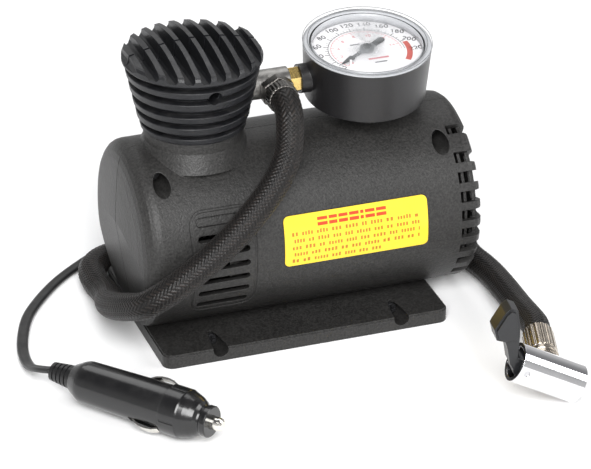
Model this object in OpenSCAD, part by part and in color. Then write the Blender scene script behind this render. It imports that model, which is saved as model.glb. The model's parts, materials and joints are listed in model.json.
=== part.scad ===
// Portable 12 V tire inflator: a horizontal motor barrel on a flat foot, a finned
// head over a vertical compressor cylinder, a dial gauge, an air hose with a
// thumb-lock chuck and a twin lead with a car socket plug.
// Origin: centre of the foot in X, motor axis plane in Y, table level in Z.
// +X runs along the motor towards the vented end, -Y is the labelled front.

/* [Housing] */
// Outer diameter of the motor barrel
barrel_d = 80; // [78:0.5:82]
// Length of the foot plate
foot_len = 126; // [122:1:130]
// Thickness of the foot plate
foot_h = 6; // [5.5:0.1:6.5]
// Wall thickness of the two housing halves
wall = 2.5; // [2:0.1:2.8]

/* [Head] */
// Diameter of the finned cap
cap_d = 58.6; // [56:0.2:60]
// Spacing of the parallel cap fins
fin_pitch = 6.5; // [6.2:0.1:6.8]
// Thickness of one cap fin
fin_t = 2.4; // [2.2:0.1:3]

/* [Compressor] */
// Crank throw, half the piston stroke
crank_r = 5.5; // [4:0.25:5.5]
// Cylinder bore
bore_d = 23; // [22.6:0.1:23.4]
// Face width of the large gear
gear_w = 5; // [4:0.5:5.5]

/* [Gauge] */
// Outer diameter of the gauge lens rim
gauge_d = 55; // [53:0.5:56]
// Lean of the gauge towards the front
gauge_tilt = 7; // [0:1:8]
// Height of the lens rim
rim_h = 6; // [5:0.5:7]

/* [Hose and lead] */
// Outer diameter of the braided hose
hose_d = 11.8; // [11:0.2:11.8]
// Width of the flat twin lead
lead_w = 4.8; // [4:0.2:5]

/* [Hidden] */
R = barrel_d / 2;
Ri = R - wall;
zc = 42;              // motor barrel axis height
head_x = -35;         // head, cylinder and piston axis
crank_z = 46;         // crankshaft axis height
mot_z = 24.8;         // motor shaft axis height
rod_l = 20;
pin_z = crank_z - crank_r;
wrist_z = pin_z + rod_l;
man_z = 101.5;        // outlet tube axis height
gx = 41.2;            // gauge axis
foot_front = 45.5;
foot_back = 40;
seam = 0.2;           // half gap at the parting plane
$fn = 64;

// hose centre line
hose_pts = [[-1,-16.6,101.5],[-1,-20.5,101],[-1.6,-25.5,98],[-2.8,-29.5,92.5],[-4.6,-33,86.5],
  [-8,-36.5,81],[-12.6,-39.5,75.5],[-18.6,-42,69.5],[-25.6,-44.2,63.4],[-33.4,-46.2,57],
  [-41.6,-47.4,51],[-50,-47.8,45.2],[-60,-47.6,38.6],[-69.4,-43,31],[-74.2,-30,24],
  [-75.6,-16,17.5],[-74.6,-4,12.5],[-72,7,8.8],[-71,17,6.8],[-71.4,27,6.1],
  [-69.6,38.4,6],[-61,46.2,6],[-46,47.2,6],[-20,46.8,6],[5,46.8,6],[30,46.8,6],[52,47,6],
  [68,44.5,6],[80,36,6],[86.4,23.6,6],[88.4,9,6],[89,-5.6,6],[90.4,-14,6],[91.1,-24,6.5],[90.7,-35,7.5],
  [89.6,-48,9],[87.9,-62,11.2],[86.3,-74,13.8],[84.84,-86,15.9],[83.33,-91.85,16.26],[82.29,-95.7,15.97]];

// flat lead from the coil to the plug
lead_pts = [[-19.4,88,7],[-24.4,81.6,4.4],[-33,76.8,2],[-44,70.5,1.5],[-56,62.7,1.4],[-69,54,1.4],[-84,41.5,1.4],
  [-96,28,1.4],[-105.5,14,1.4],[-112,-2,1.4],[-115.5,-16,1.6],[-116.5,-29,3.4],
  [-115.2,-38.5,7],[-111.6,-47,10.3]];

// flat lead from the housing to the coil
tail_pts = [[-40,51.2,20],[-40,57,19],[-39,64,15.5],[-35,71,12],[-29,77.5,10.8],[-20.6,84.6,10.6]];

wire_a_pts = [[-38,30.2,21],[-35,30,25],[-28,30,31],[-10,30,32.5],[25,30,32.5],[50,30,32.5],[60,27,30],[64,18,26.5],[64.6,12.3,24.8]];
wire_b_pts = [[-42,30.2,19.5],[-38,29.5,23.5],[-28,30,27.5],[-10,30,28.6],[25,30,28.6],[50,30,28.6],[58,28,22],[63,12,14],[64.8,-4,16],[64.6,-10,21.6]];

function vlen(v) = sqrt(v * v);
function unit(v) = v / vlen(v);
function cr(a, b, c, d, t) = 0.5 * ((2 * b) + (c - a) * t + (2 * a - 5 * b + 4 * c - d) * t * t
  + (3 * b - a - 3 * c + d) * t * t * t);
function smooth_path(p, n) = let (k = len(p) - 1)
  [for (i = [0 : k - 1]) for (j = [0 : n - 1])
    cr(p[max(i - 1, 0)], p[i], p[i + 1], p[min(i + 2, k)], j / n), p[k]];
function tang(p, i) = unit(p[min(i + 1, len(p) - 1)] - p[max(i - 1, 0)]);

// closed tube swept along a point list, a x b is the oval section
module sweep(p, a, b, n) {
  m = len(p);
  pts = [for (i = [0 : m - 1]) let (t = tang(p, i), s = unit(cross(t, [0.02, 0.05, 1])), u = cross(s, t))
    for (j = [0 : n - 1]) p[i] + s * (a / 2 * cos(360 * j / n)) + u * (b / 2 * sin(360 * j / n))];
  faces = concat([[for (j = [0 : n - 1]) n - 1 - j]],
    [for (i = [0 : m - 2]) for (j = [0 : n - 1]) each [
      [i * n + j, i * n + (j + 1) % n, (i + 1) * n + (j + 1) % n],
      [i * n + j, (i + 1) * n + (j + 1) % n, (i + 1) * n + j]]],
    [[for (j = [0 : n - 1]) (m - 1) * n + j]]);
  polyhedron(points = pts, faces = faces);
}

// involute spur gear outline
function inv(a) = tan(a) - a * PI / 180;
function half_ang(n, rp, rb, bl, r) =
  (PI / (2 * n) - bl / (2 * rp) + inv(20) - inv(acos(min(1, rb / r)))) * 180 / PI;
function gear_pts(n, m, ra, rr, bl) = let (rp = n * m / 2, rb = rp * cos(20), r0 = max(rb, rr),
    rs = [r0, r0 + (ra - r0) * 0.4, r0 + (ra - r0) * 0.75, ra])
  [for (k = [0 : n - 1]) let (th = 360 * k / n) each concat(
    [for (i = [-1 : 3]) let (r = i < 0 ? rr : rs[i], h = half_ang(n, rp, rb, bl, i < 0 ? r0 : r))
      [r * cos(th - h), r * sin(th - h)]],
    [for (i = [3 : -1 : -1]) let (r = i < 0 ? rr : rs[i], h = half_ang(n, rp, rb, bl, i < 0 ? r0 : r))
      [r * cos(th + h), r * sin(th + h)]])];

// ---- frames -------------------------------------------------------------
module along_x(x, y, z) { translate([x, y, z]) rotate([0, 90, 0]) children(); }
module along_y(x, y, z) { translate([x, y, z]) rotate([-90, 0, 0]) children(); }
module gauge_frame() { translate([gx, 0, man_z]) rotate([gauge_tilt, 0, 0]) children(); }
module chuck_frame() { translate([62.1, -119.8, 20.8]) rotate([0, 27, -7.5]) children(); }
module hose_end_frame() { translate([75.3, -121.6, 14]) rotate([0, 0, -15.1]) rotate([-85.8, 0, 0]) children(); }
module plug_frame() { translate([-102, -59.7, 10.4]) rotate([0, 0, -51]) children(); }
module plug_roll() { plug_frame() rotate([38, 0, 0]) children(); }
module box(x0, x1, y0, y1, z0, z1) { translate([x0, y0, z0]) cube([x1 - x0, y1 - y0, z1 - z0]); }

module rrect(x0, x1, y0, y1, r) {
  translate([x0 + r, y0]) square([x1 - x0 - 2 * r, y1 - y0]);
  translate([x0, y0 + r]) square([x1 - x0, y1 - y0 - 2 * r]);
  for (x = [x0 + r, x1 - r]) for (y = [y0 + r, y1 - r]) translate([x, y]) circle(r, $fn = 32);
}

// ---- housing ------------------------------------------------------------
module barrel_outer() {
  along_x(0, 0, zc) rotate_extrude($fn = 128) polygon([[0, -69.8], [10, -69.5], [20, -69], [28, -68.4],
    [33, -67.7], [35.6, -66.9], [R - 2.6, -65.8], [R - 1.2, -64.4], [R - 0.3, -62.6], [R, -60.6],
    [R, 75.4], [R - 0.4, 77.4], [R - 1.5, 78.9], [R - 3.2, 79.8], [R - 5, 80], [0, 80]]);
}
module barrel_inner() {
  along_x(0, 0, zc) rotate_extrude($fn = 128) polygon([[0, -67.2], [27, -66], [33.4, -64.8],
    [Ri - 1, -62.4], [Ri, -59], [Ri, 75], [Ri - 1.2, 77], [Ri - 3, 77.5], [0, 77.5]]);
}
module foot_plan() {
  rrect(-foot_len / 2, foot_len / 2, -foot_front, foot_back, 4.5);
}
// lower end of the barrel leans in towards the foot
module lean_cut() {
  rotate([90, 0, 0]) linear_extrude(120, center = true)
    polygon([[-72, 50], [-69.9, 50], [-63, 4], [-63, -1], [-72, -1]]);
}
module lean_cut_inner() {
  rotate([90, 0, 0]) linear_extrude(120, center = true)
    polygon([[-72, 50], [-67.3, 50], [-60.4, 4], [-60.4, -1], [-72, -1]]);
}
module vent_cut(a) {
  along_x(0, 0, zc) rotate([0, 0, a]) {
    box(-R - 3, -36.9, -2.35, 2.35, 70.2, 77.6);
    box(-R - 3, -31, -2.35, 2.35, 77.4, 84);
  }
}
module housing_solid() {
  difference() {
    union() {
      difference() { barrel_outer(); lean_cut(); }
      linear_extrude(foot_h - 0.8) foot_plan();
      // softened upper edge of the foot
      translate([0, 0, foot_h - 0.8]) linear_extrude(0.8)
        rrect(-foot_len / 2 + 0.5, foot_len / 2 - 0.5, -foot_front + 0.5, foot_back - 0.5, 4);
      translate([head_x, 0, 50]) cylinder(h = 38.6, r = 21);
      translate([head_x, 0, 76]) cylinder(h = 8, r1 = 24.4, r2 = 21);
      // seat under the gauge
      translate([gx, 0, 70]) cylinder(h = 19.4, r = 10);
    }
    difference() {
      difference() { barrel_inner(); lean_cut_inner(); }
      // motor cradle ribs
      for (x = [10, 46]) difference() {
        along_x(x, 0, zc) cylinder(h = 2, r = Ri + 1);
        along_x(x - 1, 0, mot_z) cylinder(h = 4, r = 18);
        box(x - 1, x + 3, -50, 50, 40, 90);
        box(x - 1, x + 3, 26.5, 33.5, 24, 36);
      }
      // finger guard ring behind the vents
      along_x(72.5, 0, zc) difference() {
        cylinder(h = 1.2, r = Ri + 1); translate([0, 0, -1]) cylinder(h = 4, r = 33.6);
      }
      // screw posts
      for (p = [[-56.4, 74], [66, 73.8]]) along_y(p[0], -30, p[1]) cylinder(h = 60, r = 5.3);
    }
    translate([head_x, 0, 60]) cylinder(h = 30, r = 18.3);
    // wrap-around vents at the motor end
    for (a = [61, 42, 29.5, 17.5, 5.8, -6, -17.8, -29.6, -42.4]) {
      vent_cut(90 - a); vent_cut(a - 90);
    }
    // upper screw wells and pilot holes
    for (p = [[-56.4, 74], [66, 73.8]]) {
      along_y(p[0], -45, p[1]) cylinder(h = 35, r = 3.6);
      along_y(p[0], -12, p[1]) cylinder(h = 24, r = 1.6);
    }
    // foot screw wells and pilot holes
    for (x = [-38.6, 41.6]) {
      translate([x, -46, 5.35]) rotate([-97.5, 0, 0]) cylinder(h = 16, r1 = 3.35, r2 = 2.7);
      along_y(x, -33, 3) cylinder(h = 3, r = 2.55);
      along_y(x, -32, 3) cylinder(h = 48, r = 1.45);
    }
  }
}
module front_shell() color([0.20, 0.20, 0.21]) difference() {
  intersection() { housing_solid(); box(-80, 90, -60, -seam, -1, 95); }
  // louvre panel: shallow field, blind bar and six open slots
  intersection() {
    along_x(-60, 0, zc) difference() { cylinder(h = 60, r = R + 2, $fn = 128); translate([0, 0, -1]) cylinder(h = 62, r = R - 0.35, $fn = 128); }
    rotate([90, 0, 0]) linear_extrude(60) difference() {
      rrect(-48.6, -20.4, 18, 65, 6); rrect(-47.6, -21.4, 19, 64, 5);
    }
  }
  intersection() {
    along_x(-60, 0, zc) difference() { cylinder(h = 60, r = R + 2, $fn = 128); translate([0, 0, -1]) cylinder(h = 62, r = R - 1.2, $fn = 128); }
    rotate([90, 0, 0]) linear_extrude(60) rrect(-45.6, -23.4, 58.7, 62.3, 1.6);
  }
  for (k = [0 : 5]) rotate([90, 0, 0]) translate([0, 0, 25]) linear_extrude(20)
    rrect(-45.6, -23.6, 20.75 + 6.4 * k, 23.45 + 6.4 * k, 1.3);
  // label recess
  intersection() {
    along_x(-12, 0, zc) difference() { cylinder(h = 70, r = R + 2, $fn = 128); translate([0, 0, -1]) cylinder(h = 72, r = R - 0.2, $fn = 128); }
    rotate([90, 0, 0]) linear_extrude(60) rrect(-8.8, 55.2, 35.5, 58.1, 2.5);
  }
}
module rear_shell() color([0.20, 0.20, 0.21]) difference() {
  intersection() { housing_solid(); box(-80, 90, seam, 60, -1, 95); }
  // lead entry
  along_y(-40, 26, 20) cylinder(h = 20, r = 4.2);
}
module label_sticker() color([0.95, 0.80, 0.10]) intersection() {
  along_x(-12, 0, zc) difference() { cylinder(h = 70, r = R + 0.06, $fn = 128); translate([0, 0, -1]) cylinder(h = 72, r = R - 0.15, $fn = 128); }
  rotate([90, 0, 0]) linear_extrude(60) rrect(-8.5, 54.9, 35.8, 57.8, 2.3);
}
module screw_y(x, y, z, len) {
  along_y(x, y, z) cylinder(h = 2, r = 2.4, $fn = 32);
  along_y(x, y, z) cylinder(h = len, r = 1.35, $fn = 24);
}
module cross_slot_y(x, y, z) {
  box(x - 1.5, x + 1.5, y - 1, y + 1, z - 0.3, z + 0.3);
  box(x - 0.3, x + 0.3, y - 1, y + 1, z - 1.5, z + 1.5);
}
module housing_screws() color([0.75, 0.75, 0.77]) {
  for (p = [[-56.4, 74], [66, 73.8]]) difference() { screw_y(p[0], -12, p[1], 23); cross_slot_y(p[0], -12, p[1]); }
  for (x = [-38.6, 41.6]) difference() { screw_y(x, -32.2, 3, 44); cross_slot_y(x, -32.2, 3); }
  difference() { screw_y(-34, -18, 111.8, 28); cross_slot_y(-34, -18, 111.8); }
}

// ---- head cover ---------------------------------------------------------
head_prof = [[0, 88.8], [21.6, 88.8], [22.1, 89.3], [22.4, 91.2], [22.1, 91.5], [19.6, 91.7], [20.1, 93.7],
  [23.2, 93.9], [23.5, 94.2], [23.9, 96.8], [23.6, 97.1], [20.6, 97.3], [21.1, 99.6], [24.5, 99.8], [24.8, 100.1],
  [25.2, 102.4], [24.9, 102.7], [21.8, 102.9], [22.3, 105.8], [25.9, 106], [26.2, 106.3], [26.6, 108.9], [26.3, 109.2],
  [23, 109.4], [23.5, 112], [27.2, 112.2], [27.5, 112.5], [27.9, 114.8], [27.6, 115.1], [24.1, 115.3], [24.6, 117.8],
  [cap_d / 2 - 0.6, 118], [cap_d / 2, 118.7], [cap_d / 2, 120.8], [cap_d / 2 - 0.7, 122], [cap_d / 2 - 0.8, 126], [0, 130]];
module head_solid() difference() {
  union() {
    difference() {
      intersection() {
        translate([head_x, 0, 0]) rotate_extrude($fn = 96) polygon(head_prof);
        translate([head_x, 0, 41]) sphere(r = 86.6, $fn = 128);
      }
      // gaps between the parallel fins
      for (k = [-5 : 4]) translate([head_x + fin_pitch * (k + 0.5), 0, 0]) rotate([90, 0, 0]) linear_extrude(80, center = true)
        polygon([[0.9 - (fin_pitch - fin_t) / 2, 119.6], [(fin_pitch - fin_t) / 2 - 0.9, 119.6], [(fin_pitch - fin_t) / 2, 120.8],
          [(fin_pitch - fin_t) / 2 + 0.4, 135], [-0.4 - (fin_pitch - fin_t) / 2, 135], [-(fin_pitch - fin_t) / 2, 120.8]]);
      // break in the fins over the parting plane
      box(head_x - 40, head_x + 40, -0.7, 0.7, 119.6, 135);
      translate([head_x, 0, 80]) cylinder(h = 28, r = 18);
      translate([head_x, 0, 108]) cylinder(h = 8, r1 = 18, r2 = 15);
    }
    intersection() {
      along_y(-34, -26, 111.8) cylinder(h = 52, r = 4.05, $fn = 48);
      translate([head_x, 0, 100]) cylinder(h = 20, r = 22);
    }
  }
  // outlet tube passage
  along_x(-30, 0, man_z) cylinder(h = 30, r = 6.5);
  // cover screw well and pilot
  along_y(-34, -36, 111.8) cylinder(h = 20, r = 3.05, $fn = 48);
  along_y(-34, -18, 111.8) cylinder(h = 32, r = 1.5, $fn = 32);
}
module head_cover_front() color([0.13, 0.13, 0.15]) intersection() { head_solid(); box(-80, 10, -40, -seam, 80, 140); }
module head_cover_rear() color([0.13, 0.13, 0.15]) intersection() { head_solid(); box(-80, 10, seam, 40, 80, 140); }

// ---- compressor ---------------------------------------------------------
bolt_r = 15.1;
module gearbox_frame() color([0.70, 0.71, 0.73]) difference() {
  union() {
    // bearing wall under the cylinder
    box(-27, -21.2, -23, 23, 30, 57.5);
    // table that carries the cylinder
    intersection() { translate([head_x, 0, 54.5]) cylinder(h = 3, r = 17.8); box(-60, -21.2, -20, 20, 50, 60); }
    // side webs
    for (s = [-1, 1]) box(-27, 0, s > 0 ? 20.4 : -23, s > 0 ? 23 : -20.4, 26, 56);
    // motor plate
    box(-4, 0, -23, 23, 24, 56);
    along_x(-4, 0, mot_z) cylinder(h = 4, r = 17.8);
  }
  translate([head_x, 0, 50]) cylinder(h = 10, r = 12.4);
  along_x(-30, 0, crank_z) cylinder(h = 12, r = 8.03);
  along_x(-6, 0, crank_z) cylinder(h = 8, r = 4.53);
  along_x(-6, 0, mot_z) cylinder(h = 8, r = 6.6);
  for (s = [-1, 1]) {
    along_x(-6, 12.5 * s, mot_z) cylinder(h = 8, r = 1.6, $fn = 32);
    translate([head_x, bolt_r * s, 50]) cylinder(h = 10, r = 1.6, $fn = 32);
  }
}
module compressor_cylinder() color([0.78, 0.79, 0.81]) difference() {
  union() {
    translate([head_x, 0, 57.5]) cylinder(h = 33.5, r = 13.4);
    for (z = [66, 71, 76, 81]) translate([head_x, 0, z]) cylinder(h = 1.6, r = 15.6);
    translate([head_x, 0, 57.5]) cylinder(h = 2.5, r = 17.8);
  }
  translate([head_x, 0, 50]) cylinder(h = 50, r = bore_d / 2);
  for (s = [-1, 1]) translate([head_x, bolt_r * s, 50]) cylinder(h = 50, r = 1.75, $fn = 32);
  // the rear of the foot flange clears the large gear
  box(-21.2, -10, -20, 20, 50, 62);
}
module head_gasket() color([0.55, 0.25, 0.20]) translate([head_x, 0, 91]) difference() {
  cylinder(h = 0.6, r = 13.3); translate([0, 0, -1]) cylinder(h = 3, r = 11.6);
}
module cylinder_head() color([0.66, 0.66, 0.68]) difference() {
  union() {
    translate([head_x, 0, 91.6]) cylinder(h = 4, r = 13.4);
    for (s = [-1, 1]) translate([head_x, bolt_r * s, 91.6]) cylinder(h = 4, r = 2.65, $fn = 32);
    box(head_x - 2.65, head_x + 2.65, -bolt_r, bolt_r, 91.6, 95.6);
    translate([head_x, 0, 94]) cylinder(h = 10.5, r = 7.4);
    along_x(-30, 0, man_z) cylinder(h = 36.2, r = 6.1);
    along_y(-1, -8, man_z) cylinder(h = 8, r = 5.4);
    along_x(-29, 0, man_z - 4) cylinder(h = 12, r = 4);
  }
  // valve chamber and air passages
  translate([head_x, 0, 93.6]) cylinder(h = 8.4, r = 5);
  translate([head_x, 0, 90]) cylinder(h = 5, r = 2.2);
  along_x(-33, 0, man_z - 1) cylinder(h = 41, r = 2.2);
  along_y(-1, -10, man_z) cylinder(h = 9.5, r = 2.2);
  for (s = [-1, 1]) translate([head_x, bolt_r * s, 90]) cylinder(h = 8, r = 1.6, $fn = 32);
}
module head_bolts() for (s = [-1, 1]) translate([head_x, bolt_r * s, 0]) difference() {
  union() {
    translate([0, 0, 55]) cylinder(h = 41, r = 1.45, $fn = 24);
    translate([0, 0, 95.65]) cylinder(h = 2.4, r = 2.5, $fn = 32);
  }
  box(-1.8, 1.8, -0.35, 0.35, 97.2, 99);
}
module outlet_valve() color([0.20, 0.20, 0.20]) translate([head_x, 0, 93.75]) cylinder(h = 1, r = 4.4);
module outlet_spring() color([0.80, 0.80, 0.82]) translate([head_x, 0, 95.7]) difference() {
  union() for (k = [0 : 3]) translate([0, 0, 1.6 * k]) cylinder(h = 0.6, r = 3.6, $fn = 32);
  translate([0, 0, -1]) cylinder(h = 9, r = 2.9, $fn = 32);
}
module piston() color([0.82, 0.82, 0.84]) translate([head_x, 0, 0]) difference() {
  union() {
    translate([0, 0, 58.6]) cylinder(h = 18.1, r = bore_d / 2 - 0.06);
    translate([0, 0, 76]) cylinder(h = 2, r = 9.6);
  }
  translate([0, 0, 57]) cylinder(h = 18.5, r = 10.2);
  for (k = [0 : 3]) rotate([0, 0, 90 * k + 45]) translate([6, 0, 70]) cylinder(h = 10, r = 1, $fn = 24);
}
module piston_cup() color([0.18, 0.16, 0.14]) translate([head_x, 0, 76.75]) difference() {
  cylinder(h = 1.3, r = bore_d / 2 - 0.03); translate([0, 0, -1]) cylinder(h = 4, r = 9.65);
}
module intake_reed() color([0.80, 0.81, 0.84]) translate([head_x, 0, 78.02]) cylinder(h = 0.2, r = 7.6);
module connecting_rod() color([0.74, 0.75, 0.77]) difference() {
  union() {
    along_x(head_x - 2.5, 0, pin_z) cylinder(h = 5, r = 4.6);
    box(head_x - 1.8, head_x + 1.8, -2.2, 2.2, pin_z, wrist_z);
    along_x(head_x - 2.5, 0, wrist_z) cylinder(h = 5, r = 3.5, $fn = 48);
  }
  along_x(head_x - 4, 0, pin_z) cylinder(h = 8, r = 2.55);
  along_x(head_x - 4, 0, wrist_z) cylinder(h = 8, r = 1.83, $fn = 48);
}
module gudgeon_pin() color([0.80, 0.80, 0.82]) along_x(head_x - 3.6, 0, wrist_z) cylinder(h = 7.2, r = 1.8, $fn = 48);
module crankshaft() color([0.60, 0.61, 0.63]) {
  along_x(-28.2, 0, crank_z) cylinder(h = 27.8, r = 3);
  difference() {
    along_x(-32.1, 0, crank_z) cylinder(h = 4, r = 9.5);
    // relief that balances the crank pin
    for (s = [-1, 1]) along_x(-34, 5.4 * s, crank_z - 5.2) cylinder(h = 4.4, r = 1.9, $fn = 32);
  }
  along_x(-38.6, 0, pin_z) cylinder(h = 6.6, r = 2.5, $fn = 48);
}
module crank_gear() color([0.88, 0.86, 0.80]) difference() {
  union() {
    along_x(-20.2, 0, crank_z) rotate([0, 0, 180 / 42]) linear_extrude(gear_w) polygon(gear_pts(42, 0.8, 17.3, 15.7, 0.12));
    along_x(-15.4, 0, crank_z) cylinder(h = 5, r = 6);
  }
  along_x(-25, 0, crank_z) cylinder(h = 20, r = 3.04);
  for (k = [0 : 5]) along_x(-25, 0, crank_z) rotate([0, 0, 60 * k]) translate([10.6, 0, 0]) cylinder(h = 20, r = 2.6, $fn = 32);
}
module crank_bearing() color([0.82, 0.82, 0.84]) along_x(-26.8, 0, crank_z) {
  difference() { cylinder(h = 5, r = 8); translate([0, 0, -1]) cylinder(h = 8, r = 6.6); }
  difference() { cylinder(h = 5, r = 4.5); translate([0, 0, -1]) cylinder(h = 8, r = 3.04); }
  for (k = [0 : 6]) rotate([0, 0, 360 / 7 * k]) translate([5.55, 0, 2.5]) sphere(r = 1, $fn = 20);
}
module crank_bush() along_x(-4, 0, crank_z) difference() {
  cylinder(h = 3.8, r = 4.5); translate([0, 0, -1]) cylinder(h = 6, r = 3.04);
}

// ---- motor --------------------------------------------------------------
module motor_pinion() color([0.80, 0.68, 0.36]) difference() {
  along_x(-20.4, 0, mot_z) rotate([0, 0, 180]) linear_extrude(6) polygon(gear_pts(11, 0.8, 5.15, 3.5, 0.12));
  along_x(-25, 0, mot_z) cylinder(h = 20, r = 1.62, $fn = 48);
}
module motor_shaft() color([0.80, 0.80, 0.82]) along_x(-20.8, 0, mot_z) cylinder(h = 81.4, r = 1.59, $fn = 48);
module motor_can() color([0.62, 0.63, 0.65]) difference() {
  union() {
    along_x(0.05, 0, mot_z) cylinder(h = 52, r = 17.9);
    along_x(-2, 0, mot_z) cylinder(h = 3, r = 6.4);
  }
  along_x(1.5, 0, mot_z) cylinder(h = 60, r = 16.7);
  along_x(-4, 0, mot_z) cylinder(h = 8, r = 3.53);
  for (s = [-1, 1]) along_x(-4, 12.5 * s, mot_z) cylinder(h = 10, r = 1.55, $fn = 32);
  for (k = [0 : 3]) along_x(-1, 0, mot_z) rotate([0, 0, 90 * k + 45]) translate([11.5, 0, 0]) cylinder(h = 4, r = 1.8, $fn = 32);
}
module motor_front_bush() along_x(-2, 0, mot_z) difference() {
  cylinder(h = 4, r = 3.5, $fn = 48); translate([0, 0, -1]) cylinder(h = 8, r = 1.62, $fn = 48);
}
module motor_rear_bush() along_x(54, 0, mot_z) difference() {
  cylinder(h = 5, r = 3.5, $fn = 48); translate([0, 0, -1]) cylinder(h = 8, r = 1.62, $fn = 48);
}
module shaft_bushes() color([0.72, 0.52, 0.30]) { crank_bush(); motor_front_bush(); motor_rear_bush(); }
module motor_end_bell() color([0.16, 0.16, 0.17]) difference() {
  union() {
    along_x(52.1, 0, mot_z) cylinder(h = 3.4, r = 17.8);
    along_x(50, 0, mot_z) cylinder(h = 3, r = 16.6);
    along_x(52.1, 0, mot_z) cylinder(h = 7.2, r = 6);
  }
  along_x(40, 0, mot_z) cylinder(h = 13.9, r = 6);
  along_x(53, 0, mot_z) cylinder(h = 10, r = 3.53);
  // passages for the two terminals
  for (s = [-1, 1]) box(40, 70, 10 * s - 2.4, 10 * s + 2.4, mot_z - 0.6, mot_z + 0.6);
  for (s = [-1, 1]) box(40, 70, -2.5, 2.5, mot_z + 11.5 * s - 1.5, mot_z + 11.5 * s + 1.5);
}
module motor_terminals() for (s = [-1, 1])
  box(50.8, 64, 10 * s - 2.3, 10 * s + 2.3, mot_z - 0.4, mot_z + 0.4);
module brush_blocks() for (s = [-1, 1])
  box(44.5, 49, s > 0 ? 5.3 : -11.3, s > 0 ? 11.3 : -5.3, mot_z - 2, mot_z + 2);
module carbon_brushes() {
  color([0.10, 0.10, 0.10]) brush_blocks();
  color([0.80, 0.68, 0.36]) motor_terminals();
}
module motor_magnets() color([0.22, 0.22, 0.24]) intersection() {
  along_x(11, 0, mot_z) difference() { cylinder(h = 30, r = 16.6); translate([0, 0, -1]) cylinder(h = 40, r = 12.4); }
  for (s = [-1, 1]) translate([0, 0, mot_z]) rotate([90 - 90 * s, 0, 0]) rotate([90, 0, 90]) linear_extrude(60)
    polygon([[0, 0], [16, 11], [20, 30], [-20, 30], [-16, 11]]);
}
module armature_core() color([0.45, 0.45, 0.47]) difference() {
  along_x(12, 0, mot_z) linear_extrude(26) difference() {
    circle(r = 11.7);
    for (k = [0 : 4]) rotate(72 * k) { translate([4.6, -1]) square([9, 2]); translate([4.6, -3.2]) square([5, 6.4]); }
  }
  along_x(0, 0, mot_z) cylinder(h = 60, r = 1.62, $fn = 48);
}
module armature_winding() color([0.72, 0.40, 0.20]) difference() {
  union() for (x = [8, 38.1]) along_x(x, 0, mot_z) cylinder(h = 3.9, r = 9.6);
  along_x(0, 0, mot_z) cylinder(h = 60, r = 3);
}
module commutator() color([0.78, 0.48, 0.28]) difference() {
  along_x(43.2, 0, mot_z) cylinder(h = 7.4, r = 5.1, $fn = 48);
  along_x(40, 0, mot_z) cylinder(h = 20, r = 1.62, $fn = 48);
  for (k = [0 : 4]) translate([0, 0, mot_z]) rotate([72 * k, 0, 0]) box(42, 49.4, 4.2, 6, -0.25, 0.25);
}
module motor_screws() for (s = [-1, 1]) difference() {
  union() {
    along_x(-6, 12.5 * s, mot_z) cylinder(h = 1.95, r = 2.7, $fn = 32);
    along_x(-5, 12.5 * s, mot_z) cylinder(h = 9, r = 1.45, $fn = 24);
  }
  box(-7, -5.2, 12.5 * s - 2, 12.5 * s + 2, mot_z - 0.35, mot_z + 0.35);
}
module frame_screws() color([0.75, 0.75, 0.77]) { head_bolts(); motor_screws(); }
module internal_wires() {
  color([0.75, 0.10, 0.08]) sweep(smooth_path(wire_a_pts, 2), 2, 2, 8);
  color([0.06, 0.06, 0.06]) sweep(smooth_path(wire_b_pts, 2), 2, 2, 8);
}

// ---- gauge --------------------------------------------------------------
gr = gauge_d / 2;
module gauge_nut() color([0.85, 0.68, 0.30]) difference() {
  along_x(6.4, 0, man_z) cylinder(h = 4.6, r = 9.8 / 2 / cos(30), $fn = 6);
  along_x(0, 0, man_z) cylinder(h = 20, r = 4.03);
}
module gauge_socket() color([0.80, 0.66, 0.34]) difference() {
  union() {
    along_x(6.3, 0, man_z) cylinder(h = 15.7, r = 4);
    box(22, 28, -4, 4, man_z - 4, man_z + 4);
  }
  along_x(5, 0, man_z) cylinder(h = 19, r = 1.2, $fn = 32);
}
module gauge_case() color([0.07, 0.07, 0.08]) difference() {
  union() {
    gauge_frame() translate([0, 0, -10.4]) cylinder(h = 22.8, r1 = gr - 1.7, r2 = gr - 0.4, $fn = 96);
    along_x(11.1, 0, man_z) cylinder(h = 8, r = 6.2);
  }
  gauge_frame() translate([0, 0, -8.6]) cylinder(h = 32, r = gr - 3.2, $fn = 96);
  along_x(5, 0, man_z) cylinder(h = 14, r = 4.04);
}
module gauge_lens() color([0.85, 0.87, 0.88]) gauge_frame() rotate_extrude($fn = 96)
  polygon([[0, 12.9], [gr - 3.9, 12.9], [gr - 3.9, 9.1], [gr - 3.3, 9.1], [gr - 3.3, 12.5], [gr, 12.5], [gr, 13.3], [gr - 0.5, 13.9],
    [gr - 1.8, 13.9], [gr - 2.3, 13.5], [0, 13.5]]);
module gauge_dial() color([0.96, 0.96, 0.94]) gauge_frame() {
  translate([0, 0, 8]) difference() {
    cylinder(h = 0.8, r = gr - 3.5, $fn = 96);
    translate([0, 0, -1]) cylinder(h = 3, r = 1.4, $fn = 32);
  }
  // stop pin for the needle
  translate([13 * cos(needle_a + 7), 13 * sin(needle_a + 7), 8.3]) cylinder(h = 2.4, r = 0.5, $fn = 24);
}
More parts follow.
